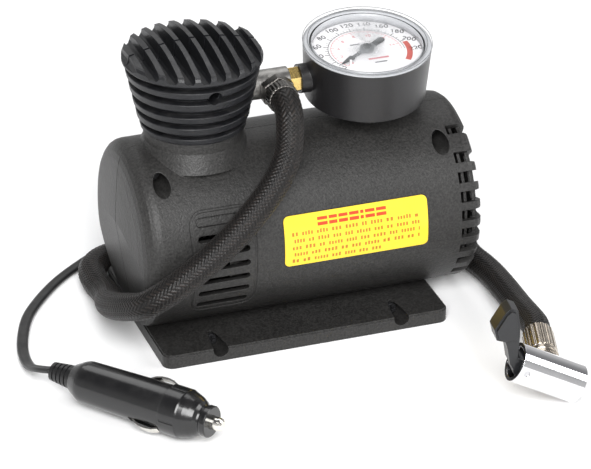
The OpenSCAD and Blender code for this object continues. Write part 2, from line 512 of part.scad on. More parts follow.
// needle at rest points to the lower left of the dial
needle_a = 212;
module gauge_needle() color([0.12, 0.12, 0.13]) gauge_frame() {
  translate([0, 0, 9.7]) rotate([0, 0, needle_a]) linear_extrude(0.4)
    polygon([[-10.6, -1.4], [-10.6, 1.4], [0, 1.2], [17, 0.3], [17.6, 0], [17, -0.3], [0, -1.2]]);
  translate([0, 0, 9.3]) cylinder(h = 1.6, r = 2.4, $fn = 48);
  translate([0, 0, 3.2]) cylinder(h = 6.9, r = 0.7, $fn = 24);
  translate([0, 0, 3.2]) linear_extrude(1) rotate(-10) polygon(gear_pts(12, 0.4, 2.68, 1.9, 0.12));
}
module bourdon_tube() gauge_frame() translate([0, 0, -3]) intersection() {
  rotate_extrude($fn = 96) translate([19.5, 0]) circle(r = 1.6, $fn = 24);
  linear_extrude(8, center = true) polygon([[-24, 4.4], [-24, 30], [30, 30], [30, -30], [6, -30], [0, 4.4]]);
}
module gauge_movement() color([0.82, 0.70, 0.42]) {
  bourdon_tube();
  gauge_frame() difference() {
    union() {
      translate([0, 0, 1.6]) linear_extrude(0.8) rrect(-9, 16.6, -7, 7, 2);
      translate([0, 0, 5.4]) linear_extrude(0.8) rrect(-9, 16.6, -7, 7, 2);
      for (p = [[-7, 4.6], [14.6, 4.8], [-7, -4.6]]) translate([p[0], p[1], 2]) cylinder(h = 3.8, r = 1, $fn = 24);
    }
    translate([0, 0, 2.6]) cylinder(h = 6, r = 0.78, $fn = 24);
  }
}
// toothed sector that turns the needle arbor, pivoted 12 mm from it
sector_x = 12;
module sector_gear() color([0.84, 0.70, 0.40]) gauge_frame() translate([sector_x * cos(-10), sector_x * sin(-10), 0]) {
  translate([0, 0, 3.2]) linear_extrude(1) intersection() {
    rotate(170 + 180 / 48) polygon(gear_pts(48, 0.4, 9.84, 9.0, 0.12));
    polygon([[1.6, -1.6], [1.2, 1], [-2, 14], [-12, 12], [-14, 0], [-14, -2]]);
  }
  translate([0, 0, 2.45]) cylinder(h = 2.9, r = 1, $fn = 24);
}

// ---- air hose and chuck -------------------------------------------------
module hose_nut() color([0.42, 0.38, 0.33]) difference() {
  union() {
    along_y(-1, -11, man_z) cylinder(h = 4.6, r = 7.4, $fn = 6);
    along_y(-1, -17.6, man_z) cylinder(h = 8, r = 6.8, $fn = 12);
  }
  along_y(-1, -9.6, man_z) cylinder(h = 6, r = 5.45);
  along_y(-1, -20, man_z) cylinder(h = 20, r = 2.2);
  along_y(-1, -19, man_z) cylinder(h = 2.4, r = 6.1);
}
module air_hose() color([0.12, 0.11, 0.10]) sweep(smooth_path(hose_pts, 2), hose_d, hose_d, 12);
module hose_end_ferrule() color([0.62, 0.56, 0.48]) difference() {
  hose_end_frame() {
    cylinder(h = 28, r = 6.5, $fn = 96);
    translate([0, 0, 12]) cylinder(h = 3, r = 6.8, $fn = 96);
  }
  chuck_frame() along_x(-5, 0, 0) cylinder(h = 60, r = 8.25);
  hose_end_frame() {
    cylinder(h = 40, r = 2.2);
    translate([0, 0, 26.9]) cylinder(h = 3, r = 6.1);
  }
}
module chuck_body() color([0.85, 0.86, 0.88]) difference() {
  chuck_frame() along_x(0, 0, 0) cylinder(h = 29.6, r = 8.2);
  chuck_frame() {
    along_x(-1, 0, 0) cylinder(h = 27.6, r = 6.6);
    along_x(20, 0, 0) cylinder(h = 20, r = 4.3);
    translate([3.2, 0, 0]) rotate([90, 0, 0]) cylinder(h = 30, r = 1.23, center = true, $fn = 32);
    // oval window on the shoulder
    rotate([-34, 0, 0]) translate([0, 0, 4]) linear_extrude(8) rrect(8.2, 13.6, -1.4, 1.4, 1.35);
  }
  hose_end_frame() translate([0, 0, 3]) cylinder(h = 30, r = 2.2);
}
module chuck_seal() color([0.08, 0.08, 0.08]) chuck_frame() difference() {
  along_x(18.6, 0, 0) cylinder(h = 7.9, r = 6.5);
  along_x(18, 0, 0) cylinder(h = 10, r = 3.6);
}
module chuck_plunger() color([0.80, 0.80, 0.82]) chuck_frame() difference() {
  along_x(8.5, 0, 0) cylinder(h = 8, r = 6.5);
  along_x(10.5, 0, 0) cylinder(h = 10, r = 3);
  translate([13, 0, 0]) rotate([90, 0, 0]) cylinder(h = 20, r = 2.2, center = true, $fn = 32);
}
module chuck_lever() color([0.07, 0.07, 0.08]) chuck_frame() difference() {
  union() {
    translate([3.2, 0, 0]) rotate([90, 0, 0]) cylinder(h = 8, r = 4.8, center = true, $fn = 48);
    translate([3.2, 0, 0]) rotate([0, -20, 0]) translate([-3.2, 0, 0]) rotate([90, 0, 0]) linear_extrude(8, center = true)
      polygon([[1.4, -3], [1, 4.6], [-0.35, 4.9], [-0.6, 8.6], [-0.9, 15], [-1.6, 20], [-3.4, 26.6], [-6.4, 27.6], [-8.6, 25.2],
        [-12, 17.6], [-10.4, 13], [-6.6, 12.2], [-5.2, 9], [-3.2, 2.2], [-0.6, -1.6]]);
    translate([3.2, 0, 0]) rotate([0, -20, 0]) translate([-3.2, 0, 0]) rotate([90, 0, 0]) linear_extrude(11, center = true)
      polygon([[-2.4, 14.2], [-3, 20], [-4.6, 26], [-6.4, 26.6], [-8, 24.8], [-11.2, 17.6], [-9.8, 13.8], [-6.2, 13.2]]);
  }
  translate([3.2, 0, 0]) rotate([90, 0, 0]) cylinder(h = 30, r = 1.27, center = true, $fn = 32);
}
module lever_pin() color([0.80, 0.80, 0.82]) chuck_frame() translate([3.2, 0, 0]) rotate([90, 0, 0]) cylinder(h = 15.6, r = 1.18, center = true, $fn = 32);

// ---- power lead and plug ------------------------------------------------
module lead_grommet() color([0.06, 0.06, 0.06]) difference() {
  union() {
    along_y(-40, 31.6, 20) cylinder(h = 5.5, r = 4.1, $fn = 48);
    along_y(-40, 36.7, 20) cylinder(h = 1.3, r = 5.2, $fn = 48);
    along_y(-40, 37.8, 20) cylinder(h = 13.4, r1 = 4.1, r2 = 3.1, $fn = 48);
  }
  for (k = [0 : 3]) along_y(-40, 40 + 2.6 * k, 20) difference() {
    cylinder(h = 0.9, r = 6, $fn = 48); translate([0, 0, -1]) cylinder(h = 4, r = 2.9, $fn = 48);
  }
}
module power_lead() color([0.05, 0.05, 0.05]) {
  sweep(smooth_path(lead_pts, 2), lead_w, 2.5, 10);
  sweep(smooth_path(tail_pts, 2), lead_w, 2.5, 10);
}
coil_c = [12, 99];
module lead_coil() color([0.05, 0.05, 0.05]) translate([coil_c[0], coil_c[1], 0.9]) rotate_extrude($fn = 72)
  polygon([[19.4, 4], [20.6, 1.4], [23.4, 0], [33, 0], [35.8, 1.4], [37, 4], [37, 12], [35.8, 14.6], [33, 16], [23.4, 16], [20.6, 14.6], [19.4, 12]]);
module coil_tie() color([0.30, 0.30, 0.32]) translate([coil_c[0] + 28.2, coil_c[1], 0]) difference() {
  translate([-9.9, -4, 0]) cube([19.8, 8, 17.8]);
  translate([-9.15, -5, 0.82]) cube([18.3, 10, 16.16]);
}
module plug_strain_relief() color([0.06, 0.06, 0.06]) plug_frame() difference() {
  along_x(-15, 0, 0) cylinder(h = 10.3, r1 = 3.9, r2 = 5.1, $fn = 48);
  for (k = [0 : 3]) along_x(-13.4 + 2.1 * k, 0, 0) difference() {
    cylinder(h = 0.6, r = 8, $fn = 48); translate([0, 0, -1]) cylinder(h = 4, r = 3.6 + 0.24 * k, $fn = 48);
  }
}
module plug_barrel() color([0.05, 0.05, 0.06]) difference() {
  plug_frame() along_x(0, 0, 0) rotate_extrude($fn = 96) polygon([[0, -4.6], [5.5, -4.6], [6, -4.2], [7.8, -1], [8.4, 0.2], [8.75, 1.4], [8.9, 2.8], [9.7, 41.8], [0, 41.8]]);
  plug_frame() along_x(14, 0, 0) cylinder(h = 40, r = 3.4, $fn = 48);
  plug_roll() for (s = [-1, 1]) box(27, 45, s > 0 ? 4.6 : -12, s > 0 ? 12 : -4.6, -2.1, 2.1);
}
module plug_cap() color([0.05, 0.05, 0.06]) difference() {
  plug_frame() along_x(0, 0, 0) rotate_extrude($fn = 96) polygon([[0, 41.9], [10.1, 41.9], [10.3, 42.2], [10.3, 49.8], [10, 50.4], [9.4, 52.4],
    [8.6, 54.6], [7.4, 56.6], [6.2, 57.8], [5.9, 58.6], [6.4, 59.2], [6.6, 59.8], [6.6, 61.6], [6.2, 62], [0, 62]]);
  plug_frame() along_x(40, 0, 0) cylinder(h = 19.4, r = 3.4, $fn = 48);
  plug_frame() along_x(40, 0, 0) cylinder(h = 30, r = 2.9, $fn = 48);
  // grip flutes on the collar
  for (k = [0 : 15]) plug_frame() along_x(42.8, 0, 0) rotate([0, 0, 22.5 * k]) translate([10.6, 0, 0]) cylinder(h = 7, r = 0.6, $fn = 16);
}
module plug_tip() color([0.85, 0.84, 0.80]) plug_frame() {
  along_x(56.4, 0, 0) cylinder(h = 2.8, r = 3.2, $fn = 48);
  along_x(58, 0, 0) rotate_extrude($fn = 48) polygon([[0, 0], [2.8, 0], [2.8, 7.2], [2.5, 8.4], [1.7, 9.2], [0.8, 9.5], [0, 9.6]]);
}
module plug_fuse() color([0.85, 0.87, 0.88]) plug_frame() along_x(26.2, 0, 0) cylinder(h = 30, r = 3.15, $fn = 48);
module plug_spring() color([0.80, 0.80, 0.82]) plug_frame() along_x(14.2, 0, 0) difference() {
  union() for (k = [0 : 5]) translate([0, 0, 1.7 * k]) cylinder(h = 0.7, r = 3, $fn = 32);
  translate([0, 0, -1]) cylinder(h = 20, r = 2.3, $fn = 32);
}
contact_prof = [[27.3, 7.6], [28.4, 9.2], [30.6, 10.6], [33.2, 11.4], [36, 11.6], [39, 11.2], [41.4, 10.2],
  [41.4, 9.5], [39, 10.5], [36, 10.9], [33.2, 10.7], [30.8, 9.9], [29, 8.7], [28, 7.4]];
module side_contact_front() color([0.85, 0.85, 0.84]) plug_roll() translate([0, 0, -1.8]) linear_extrude(3.6)
  polygon([for (p = contact_prof) [p[0], -p[1]]]);
module side_contact_back() color([0.85, 0.85, 0.84]) plug_roll() translate([0, 0, -1.8]) linear_extrude(3.6)
  polygon(contact_prof);

front_shell();
rear_shell();
label_sticker();
housing_screws();
head_cover_front();
head_cover_rear();
gearbox_frame();
frame_screws();
compressor_cylinder();
head_gasket();
cylinder_head();
outlet_valve();
outlet_spring();
piston();
piston_cup();
intake_reed();
connecting_rod();
gudgeon_pin();
crankshaft();
crank_gear();
crank_bearing();
shaft_bushes();
motor_pinion();
motor_shaft();
motor_can();
motor_end_bell();
carbon_brushes();
motor_magnets();
armature_core();
armature_winding();
commutator();
internal_wires();
gauge_nut();
gauge_socket();
gauge_case();
gauge_lens();
gauge_dial();
gauge_needle();
gauge_movement();
sector_gear();
hose_nut();
air_hose();
hose_end_ferrule();
chuck_body();
chuck_seal();
chuck_plunger();
chuck_lever();
lever_pin();
lead_grommet();
power_lead();
lead_coil();
coil_tie();
plug_strain_relief();
plug_barrel();
plug_cap();
plug_tip();
plug_fuse();
plug_spring();
side_contact_front();
side_contact_back();
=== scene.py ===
import bpy, bmesh, math, json
from mathutils import Vector, Matrix, noise


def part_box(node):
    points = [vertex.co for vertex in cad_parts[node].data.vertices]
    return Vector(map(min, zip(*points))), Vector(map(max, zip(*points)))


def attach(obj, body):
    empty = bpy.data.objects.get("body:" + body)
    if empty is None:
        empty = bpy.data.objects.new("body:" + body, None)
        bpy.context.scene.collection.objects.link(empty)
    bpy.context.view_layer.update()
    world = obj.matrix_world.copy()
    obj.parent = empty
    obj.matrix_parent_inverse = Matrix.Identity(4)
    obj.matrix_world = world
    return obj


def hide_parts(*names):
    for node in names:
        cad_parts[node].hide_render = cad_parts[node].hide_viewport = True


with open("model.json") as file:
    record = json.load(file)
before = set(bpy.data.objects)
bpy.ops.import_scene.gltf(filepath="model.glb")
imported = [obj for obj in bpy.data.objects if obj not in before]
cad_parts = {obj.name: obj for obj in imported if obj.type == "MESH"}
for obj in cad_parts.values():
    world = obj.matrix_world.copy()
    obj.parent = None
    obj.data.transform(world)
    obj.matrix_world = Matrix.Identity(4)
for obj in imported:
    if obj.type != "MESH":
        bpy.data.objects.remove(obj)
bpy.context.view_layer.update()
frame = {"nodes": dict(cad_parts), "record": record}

N = frame["nodes"]
MM = 0.001
scene = bpy.context.scene


def box(n):
    lo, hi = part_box(n)
    return Vector(lo), Vector(hi)


# ---------------------------------------------------------------- materials
def tree(name):
    m = bpy.data.materials.new(name)
    m.use_nodes = True
    nt = m.node_tree
    bsdf = nt.nodes.get("Principled BSDF")
    return m, nt, bsdf


def link(nt, a, b):
    nt.links.new(a, b)


def noise_tex(nt, co, scale, detail=3.0, rough=0.55, dist=0.0):
    n = nt.nodes.new("ShaderNodeTexNoise")
    n.inputs["Scale"].default_value = scale
    n.inputs["Detail"].default_value = detail
    n.inputs["Roughness"].default_value = rough
    n.inputs["Distortion"].default_value = dist
    link(nt, co, n.inputs["Vector"])
    return n


def ramp(nt, fac, stops):
    r = nt.nodes.new("ShaderNodeValToRGB")
    els = r.color_ramp.elements
    while len(els) > 2:
        els.remove(els[-1])
    for i, (p, c) in enumerate(stops):
        if i < 2:
            e = els[i]
            e.position = p
        else:
            e = els.new(p)
        e.color = (c[0], c[1], c[2], 1.0) if hasattr(c, "__len__") else (c, c, c, 1.0)
    link(nt, fac, r.inputs["Fac"])
    return r.outputs["Color"]


def math_n(nt, op, a, b=None, clamp=False):
    n = nt.nodes.new("ShaderNodeMath")
    n.operation = op
    n.use_clamp = clamp
    for i, v in enumerate((a, b)):
        if v is None:
            continue
        if isinstance(v, (int, float)):
            n.inputs[i].default_value = v
        else:
            link(nt, v, n.inputs[i])
    return n.outputs[0]


def mix(nt, fac, a, b, mode="MIX"):
    n = nt.nodes.new("ShaderNodeMix")
    n.data_type = "RGBA"
    n.blend_type = mode
    for s, v in ((n.inputs[0], fac), (n.inputs[6], a), (n.inputs[7], b)):
        if isinstance(v, (int, float)):
            s.default_value = v
        elif hasattr(v, "__len__"):
            s.default_value = (v[0], v[1], v[2], 1.0)
        else:
            link(nt, v, s)
    return n.outputs[2]


def bump(nt, height, dist, strength=1.0, normal=None):
    n = nt.nodes.new("ShaderNodeBump")
    n.inputs["Strength"].default_value = strength
    n.inputs["Distance"].default_value = dist
    link(nt, height, n.inputs["Height"])
    if normal is not None:
        link(nt, normal, n.inputs["Normal"])
    return n.outputs["Normal"]


def surface(name, base, rough=0.5, metal=0.0, spec=0.5, coat=0.0, coat_rough=0.1, var=0.12, var_scale=45.0,
            tint=None, grain=0.0, grain_scale=2600.0, grain2=0.0, grain2_scale=700.0, rough_var=0.08, edge=0.0,
            edge_col=None, round_r=0.0, streak=None, streak_amt=0.0, alpha=None, trans=0.0, ior=None, dust=0.0,
            aniso=0.0, speckle=0.0, speckle_scale=1100.0):
    m, nt, b = tree(name)
    tc = nt.nodes.new("ShaderNodeTexCoord")
    co = tc.outputs["Object"]
    big = noise_tex(nt, co, var_scale, 4.0, 0.6)
    small = noise_tex(nt, co, grain_scale * 0.45, 2.0, 0.5)
    lo = [c * (1 - var) for c in base]
    hi = [min(1.0, c * (1 + var)) for c in base]
    if tint:
        hi = [min(1.0, h * 0.5 + t * 0.5) for h, t in zip(hi, tint)]
    col = ramp(nt, big.outputs["Fac"], [(0.3, lo), (0.7, hi)])
    fine = ramp(nt, small.outputs["Fac"], [(0.25, 1 - var * 0.9), (0.75, 1.0)])
    col = mix(nt, 1.0, col, fine, "MULTIPLY")
    if speckle > 0:
        sp = noise_tex(nt, co, speckle_scale, 2.0, 0.6)
        col = mix(nt, 1.0, col, ramp(nt, sp.outputs["Fac"], [(0.36, 1 - speckle), (0.64, 1 + speckle)]), "MULTIPLY")
    normal = None
    bev = None
    if round_r > 0 or edge > 0:
        bv = nt.nodes.new("ShaderNodeBevel")
        bv.samples = 6
        bv.inputs["Radius"].default_value = max(round_r, 0.0003)
        bev = bv.outputs["Normal"]
        if round_r > 0:
            normal = bev
    if edge > 0:
        geo = nt.nodes.new("ShaderNodeNewGeometry")
        d = nt.nodes.new("ShaderNodeVectorMath")
        d.operation = "DOT_PRODUCT"
        link(nt, bev, d.inputs[0])
        link(nt, geo.outputs["Normal"], d.inputs[1])
        wear = math_n(nt, "SUBTRACT", 1.0, d.outputs["Value"])
        wear = math_n(nt, "MULTIPLY", wear, 6.0, True)
        rag = ramp(nt, noise_tex(nt, co, 420.0, 5.0, 0.7).outputs["Fac"], [(0.38, 0.0), (0.66, 1.0)])
        wear = math_n(nt, "MULTIPLY", wear, rag)
        wear = math_n(nt, "MULTIPLY", wear, edge, True)
        col = mix(nt, wear, col, edge_col or [min(1.0, c * 2.4 + 0.02) for c in base])
    if dust > 0:
        geo2 = nt.nodes.new("ShaderNodeNewGeometry")
        sx = nt.nodes.new("ShaderNodeSeparateXYZ")
        link(nt, geo2.outputs["Normal"], sx.inputs[0])
        up = ramp(nt, sx.outputs["Z"], [(0.35, 0.0), (1.0, 1.0)])
        dn = ramp(nt, noise_tex(nt, co, 160.0, 6.0, 0.65).outputs["Fac"], [(0.42, 0.0), (0.75, 1.0)])
        dm = math_n(nt, "MULTIPLY", up, dn)
        dm = math_n(nt, "MULTIPLY", dm, dust, True)
        col = mix(nt, dm, col, (0.32, 0.31, 0.30))
    link(nt, col, b.inputs["Base Color"])
    rr = math_n(nt, "ADD", math_n(nt, "MULTIPLY", math_n(nt, "SUBTRACT", big.outputs["Fac"], 0.5), rough_var * 2), rough, True)
    if streak:
        mp = nt.nodes.new("ShaderNodeMapping")
        mp.inputs["Scale"].default_value = streak
        link(nt, co, mp.inputs["Vector"])
        st = noise_tex(nt, mp.outputs["Vector"], 1.0, 3.0, 0.6)
        rr = math_n(nt, "ADD", rr, math_n(nt, "MULTIPLY", math_n(nt, "SUBTRACT", st.outputs["Fac"], 0.5), streak_amt * 2), True)
        normal = bump(nt, st.outputs["Fac"], 0.00004, min(1.0, streak_amt * 2.0), normal)
    link(nt, rr, b.inputs["Roughness"])
    if grain > 0:
        g = noise_tex(nt, co, grain_scale, 2.0, 0.5)
        normal = bump(nt, g.outputs["Fac"], grain, 1.0, normal)
    if grain2 > 0:
        g2 = noise_tex(nt, co, grain2_scale, 3.0, 0.55)
        normal = bump(nt, g2.outputs["Fac"], grain2, 1.0, normal)
    if normal is not None:
        link(nt, normal, b.inputs["Normal"])
    b.inputs["Metallic"].default_value = metal
    b.inputs["Specular IOR Level"].default_value = spec
    if coat > 0:
        b.inputs["Coat Weight"].default_value = coat
        b.inputs["Coat Roughness"].default_value = coat_rough
    if trans > 0:
        b.inputs["Transmission Weight"].default_value = trans
    if ior:
        b.inputs["IOR"].default_value = ior
    if alpha is not None:
        b.inputs["Alpha"].default_value = alpha
    if aniso:
        b.inputs["Anisotropic"].default_value = aniso
    return m


MAT = {}
MAT["housing_plastic"] = surface("moulded_housing", (0.0215, 0.0208, 0.0200), 0.46, var=0.10, var_scale=30, grain=0.00016,
                                 grain_scale=1250, grain2=0.00012, grain2_scale=560, speckle=0.42, spec=0.42, round_r=0.0005, edge=0.25, dust=0.015)
MAT["cover_plastic"] = surface("moulded_cover", (0.0090, 0.0094, 0.0112), 0.38, var=0.14, spec=0.42, speckle=0.35, grain=0.00008, grain_scale=2400,
                               round_r=0.0003, edge=0.35, dust=0.08)
MAT["gauge_black"] = surface("gauge_drum", (0.0125, 0.0120, 0.0128), 0.36, var=0.10, speckle=0.12, grain=0.000025, grain_scale=1800,
                             round_r=0.0004, edge=0.2, dust=0.05)
MAT["black_plastic"] = surface("black_moulding", (0.0085, 0.0085, 0.009), 0.40, var=0.12, grain=0.00002, round_r=0.0003, edge=0.2)
MAT["lever_plastic"] = surface("lever_moulding", (0.0130, 0.0135, 0.0150), 0.36, var=0.15, grain=0.00002, round_r=0.0004, edge=0.4)
MAT["plug_plastic"] = surface("plug_moulding", (0.0070, 0.0070, 0.0075), 0.22, var=0.15, coat=0.3, coat_rough=0.12,
                              grain=0.000008, grain_scale=900, round_r=0.0004, edge=0.25, dust=0.05)
MAT["cord_rubber"] = surface("cord_cover", (0.0080, 0.0080, 0.0085), 0.36, var=0.15, grain=0.000015, grain_scale=1500, dust=0.08)
MAT["tie_plastic"] = surface("tie_cover", (0.020, 0.020, 0.021), 0.5, var=0.15, grain=0.00003, round_r=0.0003, edge=0.3)
MAT["seal_rubber"] = surface("seal_rubber", (0.014, 0.014, 0.014), 0.6, var=0.2, grain=0.00002)
MAT["gasket_fibre"] = surface("gasket_fibre", (0.10, 0.115, 0.10), 0.8, var=0.25, var_scale=300, grain=0.00005)
MAT["gear_plastic"] = surface("natural_nylon", (0.72, 0.70, 0.60), 0.35, var=0.06, grain=0.00001)
MAT["wire_cover"] = surface("wire_cover", (0.45, 0.03, 0.02), 0.42, var=0.1, grain=0.00002)
# screws painted near black: dark screw steel, darkened further as painted shade of the wells they sit in
MAT["screw_steel"] = surface("near_black_screw_well_shade", (0.022, 0.022, 0.024), 0.5, 0.4, var=0.12, var_scale=200, grain=0.00001, round_r=0.0002, edge=0.3)
MAT["spring_steel"] = surface("spring_wire", (0.58, 0.58, 0.60), 0.28, 1.0, var=0.1)
MAT["ground_steel"] = surface("ground_steel", (0.60, 0.60, 0.62), 0.25, 1.0, var=0.1, streak=(60, 3000, 3000), streak_amt=0.1)
MAT["plated_steel"] = surface("plated_can", (0.56, 0.56, 0.58), 0.34, 1.0, var=0.1, streak=(80, 1600, 1600), streak_amt=0.12)
MAT["lamination_steel"] = surface("lamination_stack", (0.24, 0.25, 0.26), 0.5, 0.8, var=0.15, streak=(2600, 20, 20), streak_amt=0.3)
MAT["cast_zinc"] = surface("cast_zinc", (0.36, 0.35, 0.335), 0.40, 1.0, var=0.22, var_scale=260, grain=0.00009,
                           grain_scale=900, grain2=0.00012, grain2_scale=260, round_r=0.0005, edge=0.4)
MAT["cast_aluminium"] = surface("cast_aluminium", (0.60, 0.60, 0.61), 0.42, 1.0, var=0.12, var_scale=200, grain=0.00006, grain_scale=1000, round_r=0.0003)
MAT["sintered_bronze"] = surface("sintered_bronze", (0.42, 0.27, 0.13), 0.5, 0.9, var=0.2, var_scale=400, grain=0.00004)
MAT["carbon"] = surface("pressed_carbon", (0.03, 0.03, 0.03), 0.6, 0.2, var=0.2)
MAT["ferrite"] = surface("ferrite", (0.05, 0.05, 0.052), 0.6, 0.1, var=0.2, grain=0.00003)
MAT["copper_wire"] = surface("enamelled_copper", (0.55, 0.20, 0.08), 0.3, 0.9, var=0.15, streak=(60, 2400, 2400), streak_amt=0.4)
MAT["copper_bar"] = surface("turned_copper", (0.70, 0.32, 0.18), 0.3, 1.0, var=0.1, streak=(2400, 30, 30), streak_amt=0.2)
MAT["gauge_brass"] = surface("turned_brass", (0.83, 0.60, 0.22), 0.24, 1.0, var=0.10, var_scale=160, grain=0.000008, round_r=0.0003,
                             streak=(2200, 60, 60), streak_amt=0.08)
MAT["dark_nickel"] = surface("dark_nickel", (0.20, 0.19, 0.18), 0.28, 1.0, var=0.25, var_scale=200, grain=0.00002, round_r=0.0002, edge=0.5,
                             edge_col=(0.55, 0.50, 0.44))
MAT["ferrule_nickel"] = surface("ferrule_nickel", (0.50, 0.44, 0.37), 0.22, 1.0, var=0.18, var_scale=220, grain=0.00001, round_r=0.0002)
MAT["bright_chrome"] = surface("bright_chrome", (0.76, 0.76, 0.775), 0.08, 1.0, var=0.04, var_scale=120, rough_var=0.04, round_r=0.0003)
MAT["bright_nickel"] = surface("bright_nickel", (0.78, 0.76, 0.71), 0.16, 1.0, var=0.08, var_scale=300, rough_var=0.06)
MAT["needle_black"] = surface("needle_paint", (0.035, 0.035, 0.037), 0.35, var=0.05)
MAT["dial_paint"] = surface("dial_print_white", (0.80, 0.79, 0.80), 0.5, var=0.02, var_scale=80)
MAT["braided_hose"] = surface("braid_yarn", (0.02, 0.018, 0.016), 0.5, var=0.3)
MAT["label_film"] = surface("label_film", (0.80, 0.57, 0.030), 0.38, var=0.03, coat=0.15)
MAT["fuse_glass"] = surface("fuse_glass", (0.8, 0.84, 0.86), 0.05, trans=0.9, ior=1.5, var=0.02)


def lens_mat():
    m, nt, b = tree("clear_lens")
    tc = nt.nodes.new("ShaderNodeTexCoord")
    n = noise_tex(nt, tc.outputs["Object"], 120.0, 3.0)
    col = ramp(nt, n.outputs["Fac"], [(0.3, (0.60, 0.62, 0.64)), (0.7, (0.68, 0.70, 0.72))])
    link(nt, col, b.inputs["Base Color"])
    rr = math_n(nt, "ADD", math_n(nt, "MULTIPLY", n.outputs["Fac"], 0.01), 0.015)
    link(nt, rr, b.inputs["Roughness"])
    # faint pale grey face-on, rising to a pale, more opaque rim at glancing angles: painted reflection on the clear
    # cover
    lw = nt.nodes.new("ShaderNodeLayerWeight")
    lw.inputs["Blend"].default_value = 0.5
    al = ramp(nt, lw.outputs["Facing"], [(0.35, 0.008), (0.62, 0.02), (0.85, 0.28), (1.0, 0.6)])
    link(nt, al, b.inputs["Alpha"])
    b.inputs["Specular IOR Level"].default_value = 0.5
    return m


MAT["clear_lens"] = lens_mat()

slot_of = {s["node"]: s["material_slot"] for s in frame["record"]["subparts"]}


def assign(obj, m):
    obj.data.materials.clear()
    obj.data.materials.append(m)


for n, o in N.items():
    assign(o, MAT[slot_of[n]])
    for p in o.data.polygons:
        p.use_smooth = True


# ---------------------------------------------------------------- mesh help
def add_obj(name, bm, mat, body, smooth=True, replaces=()):
    me = bpy.data.meshes.new(name)
    bm.normal_update()
    bm.to_mesh(me)
    bm.free()
    ob = bpy.data.objects.new(name, me)
    scene.collection.objects.link(ob)
    if smooth:
        for p in me.polygons:
            p.use_smooth = True
    me.materials.append(mat)
    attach(ob, body)
    if replaces:
        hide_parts(*replaces)
    return ob


def smooth_path(p, n):
    k = len(p) - 1
    out = []
    for i in range(k):
        a, b, c, d = p[max(i - 1, 0)], p[i], p[i + 1], p[min(i + 2, k)]
        for j in range(n):
            t = j / n
            out.append(0.5 * ((2 * b) + (c - a) * t + (2 * a - 5 * b + 4 * c - d) * t * t + (3 * b - a - 3 * c + d) * t ** 3))
    out.append(p[k])
    return out


def even(path, step):
    L = [0.0]
    for a, b in zip(path, path[1:]):
        L.append(L[-1] + (b - a).length)
    n = max(2, int(round(L[-1] / step)))
    out = []
    j = 0
    for i in range(n + 1):
        s = L[-1] * i / n
        while j < len(path) - 2 and L[j + 1] < s:
            j += 1
        t = (s - L[j]) / max(1e-9, L[j + 1] - L[j])
        out.append(path[j].lerp(path[j + 1], min(1, max(0, t))))
    return out, L[-1]


def frames(path):
    """side and up vectors along a path, side kept level"""
    res = []
    for i in range(len(path)):
        t = (path[min(i + 1, len(path) - 1)] - path[max(i - 1, 0)]).normalized()
        s = t.cross(Vector((0.02, 0.05, 1.0))).normalized()
        u = s.cross(t)
        res.append((s, u, t))
    return res


def carried_frames(path):
    """frames carried along without twist"""
    t0 = (path[1] - path[0]).normalized()
    s = t0.cross(Vector((0, 0, 1)))
    if s.length < 0.1:
        s = t0.cross(Vector((1, 0, 0)))
    s.normalize()
    res = []
    for i in range(len(path)):
        t = (path[min(i + 1, len(path) - 1)] - path[max(i - 1, 0)]).normalized()
        s = (s - t * s.dot(t)).normalized()
        res.append((s, s.cross(t), t))
    return res


def tube(bm, path, fr, section, cap=True):
    """section(i, n) gives the list of (a, b) offsets of ring i; n is not used, section is called with i alone"""
    rings = []
    for i, p in enumerate(path):
        s, u, t = fr[i]
        rings.append([bm.verts.new(p + s * a + u * b) for a, b in section(i)])
    m = len(rings[0])
    for r0, r1 in zip(rings, rings[1:]):
        for j in range(m):
            bm.faces.new((r0[j], r0[(j + 1) % m], r1[(j + 1) % m], r1[j]))
    if cap:
        bm.faces.new(list(reversed(rings[0])))
        bm.faces.new(rings[-1])
    bmesh.ops.recalc_face_normals(bm, faces=bm.faces[:])
    return rings


# ---------------------------------------------------------------- air hose
hose_pts = [Vector(p) * MM for p in ((-1,-16.6,101.5),(-1,-20.5,101),(-1.6,-25.5,98),(-2.8,-29.5,92.5),(-4.6,-33,86.5),
  (-8,-36.5,81),(-12.6,-39.5,75.5),(-18.6,-42,69.5),(-25.6,-44.2,63.4),(-33.4,-46.2,57),
  (-41.6,-47.4,51),(-50,-47.8,45.2),(-60,-47.6,38.6),(-69.4,-43,31),(-74.2,-30,24),
  (-75.6,-16,17.5),(-74.6,-4,12.5),(-72,7,8.8),(-71,17,6.8),(-71.4,27,6.1),
  (-69.6,38.4,6),(-61,46.2,6),(-46,47.2,6),(-20,46.8,6),(5,46.8,6),(30,46.8,6),(52,47,6),
  (68,44.5,6),(80,36,6),(86.4,23.6,6),(88.4,9,6),(89,-5.6,6),(90.4,-14,6),(91.1,-24,6.5),(90.7,-35,7.5),
  (89.6,-48,9),(87.9,-62,11.2),(86.3,-74,13.8),(84.84,-86,15.9),(83.33,-91.85,16.26),(82.29,-95.7,15.97))]
HOSE_R = 5.9 * MM
hp, hose_len = even(smooth_path(hose_pts, 24), 0.27 * MM)
NS = 18      # strands each way
SIDES = 144
LAY = 2 * math.pi * HOSE_R / NS * 0.88   # length of one strand step along the hose


def braid_section(i):
    s = hose_len * i / (len(hp) - 1)
    out = []
    for j in range(SIDES):
        a = 2 * math.pi * j / SIDES
        u = a * NS / (2 * math.pi)
        v = s / LAY
        p, q = u + v, u - v
        ip, iq = math.floor(p), math.floor(q)
        over = ((ip + iq) % 4) < 2
        fp, fq = p - ip, q - iq
        f = fp if over else fq
        g = fq if over else fp
        h = math.sin(math.pi * f) ** 0.6
        crown = 0.75 + 0.25 * math.sin(math.pi * g)
        thread = 0.06 * math.cos(2 * math.pi * 3 * f)
        r = HOSE_R - 0.48 * MM + 0.48 * MM * (h * crown + thread)
        out.append((r * math.cos(a), r * math.sin(a)))
    return out


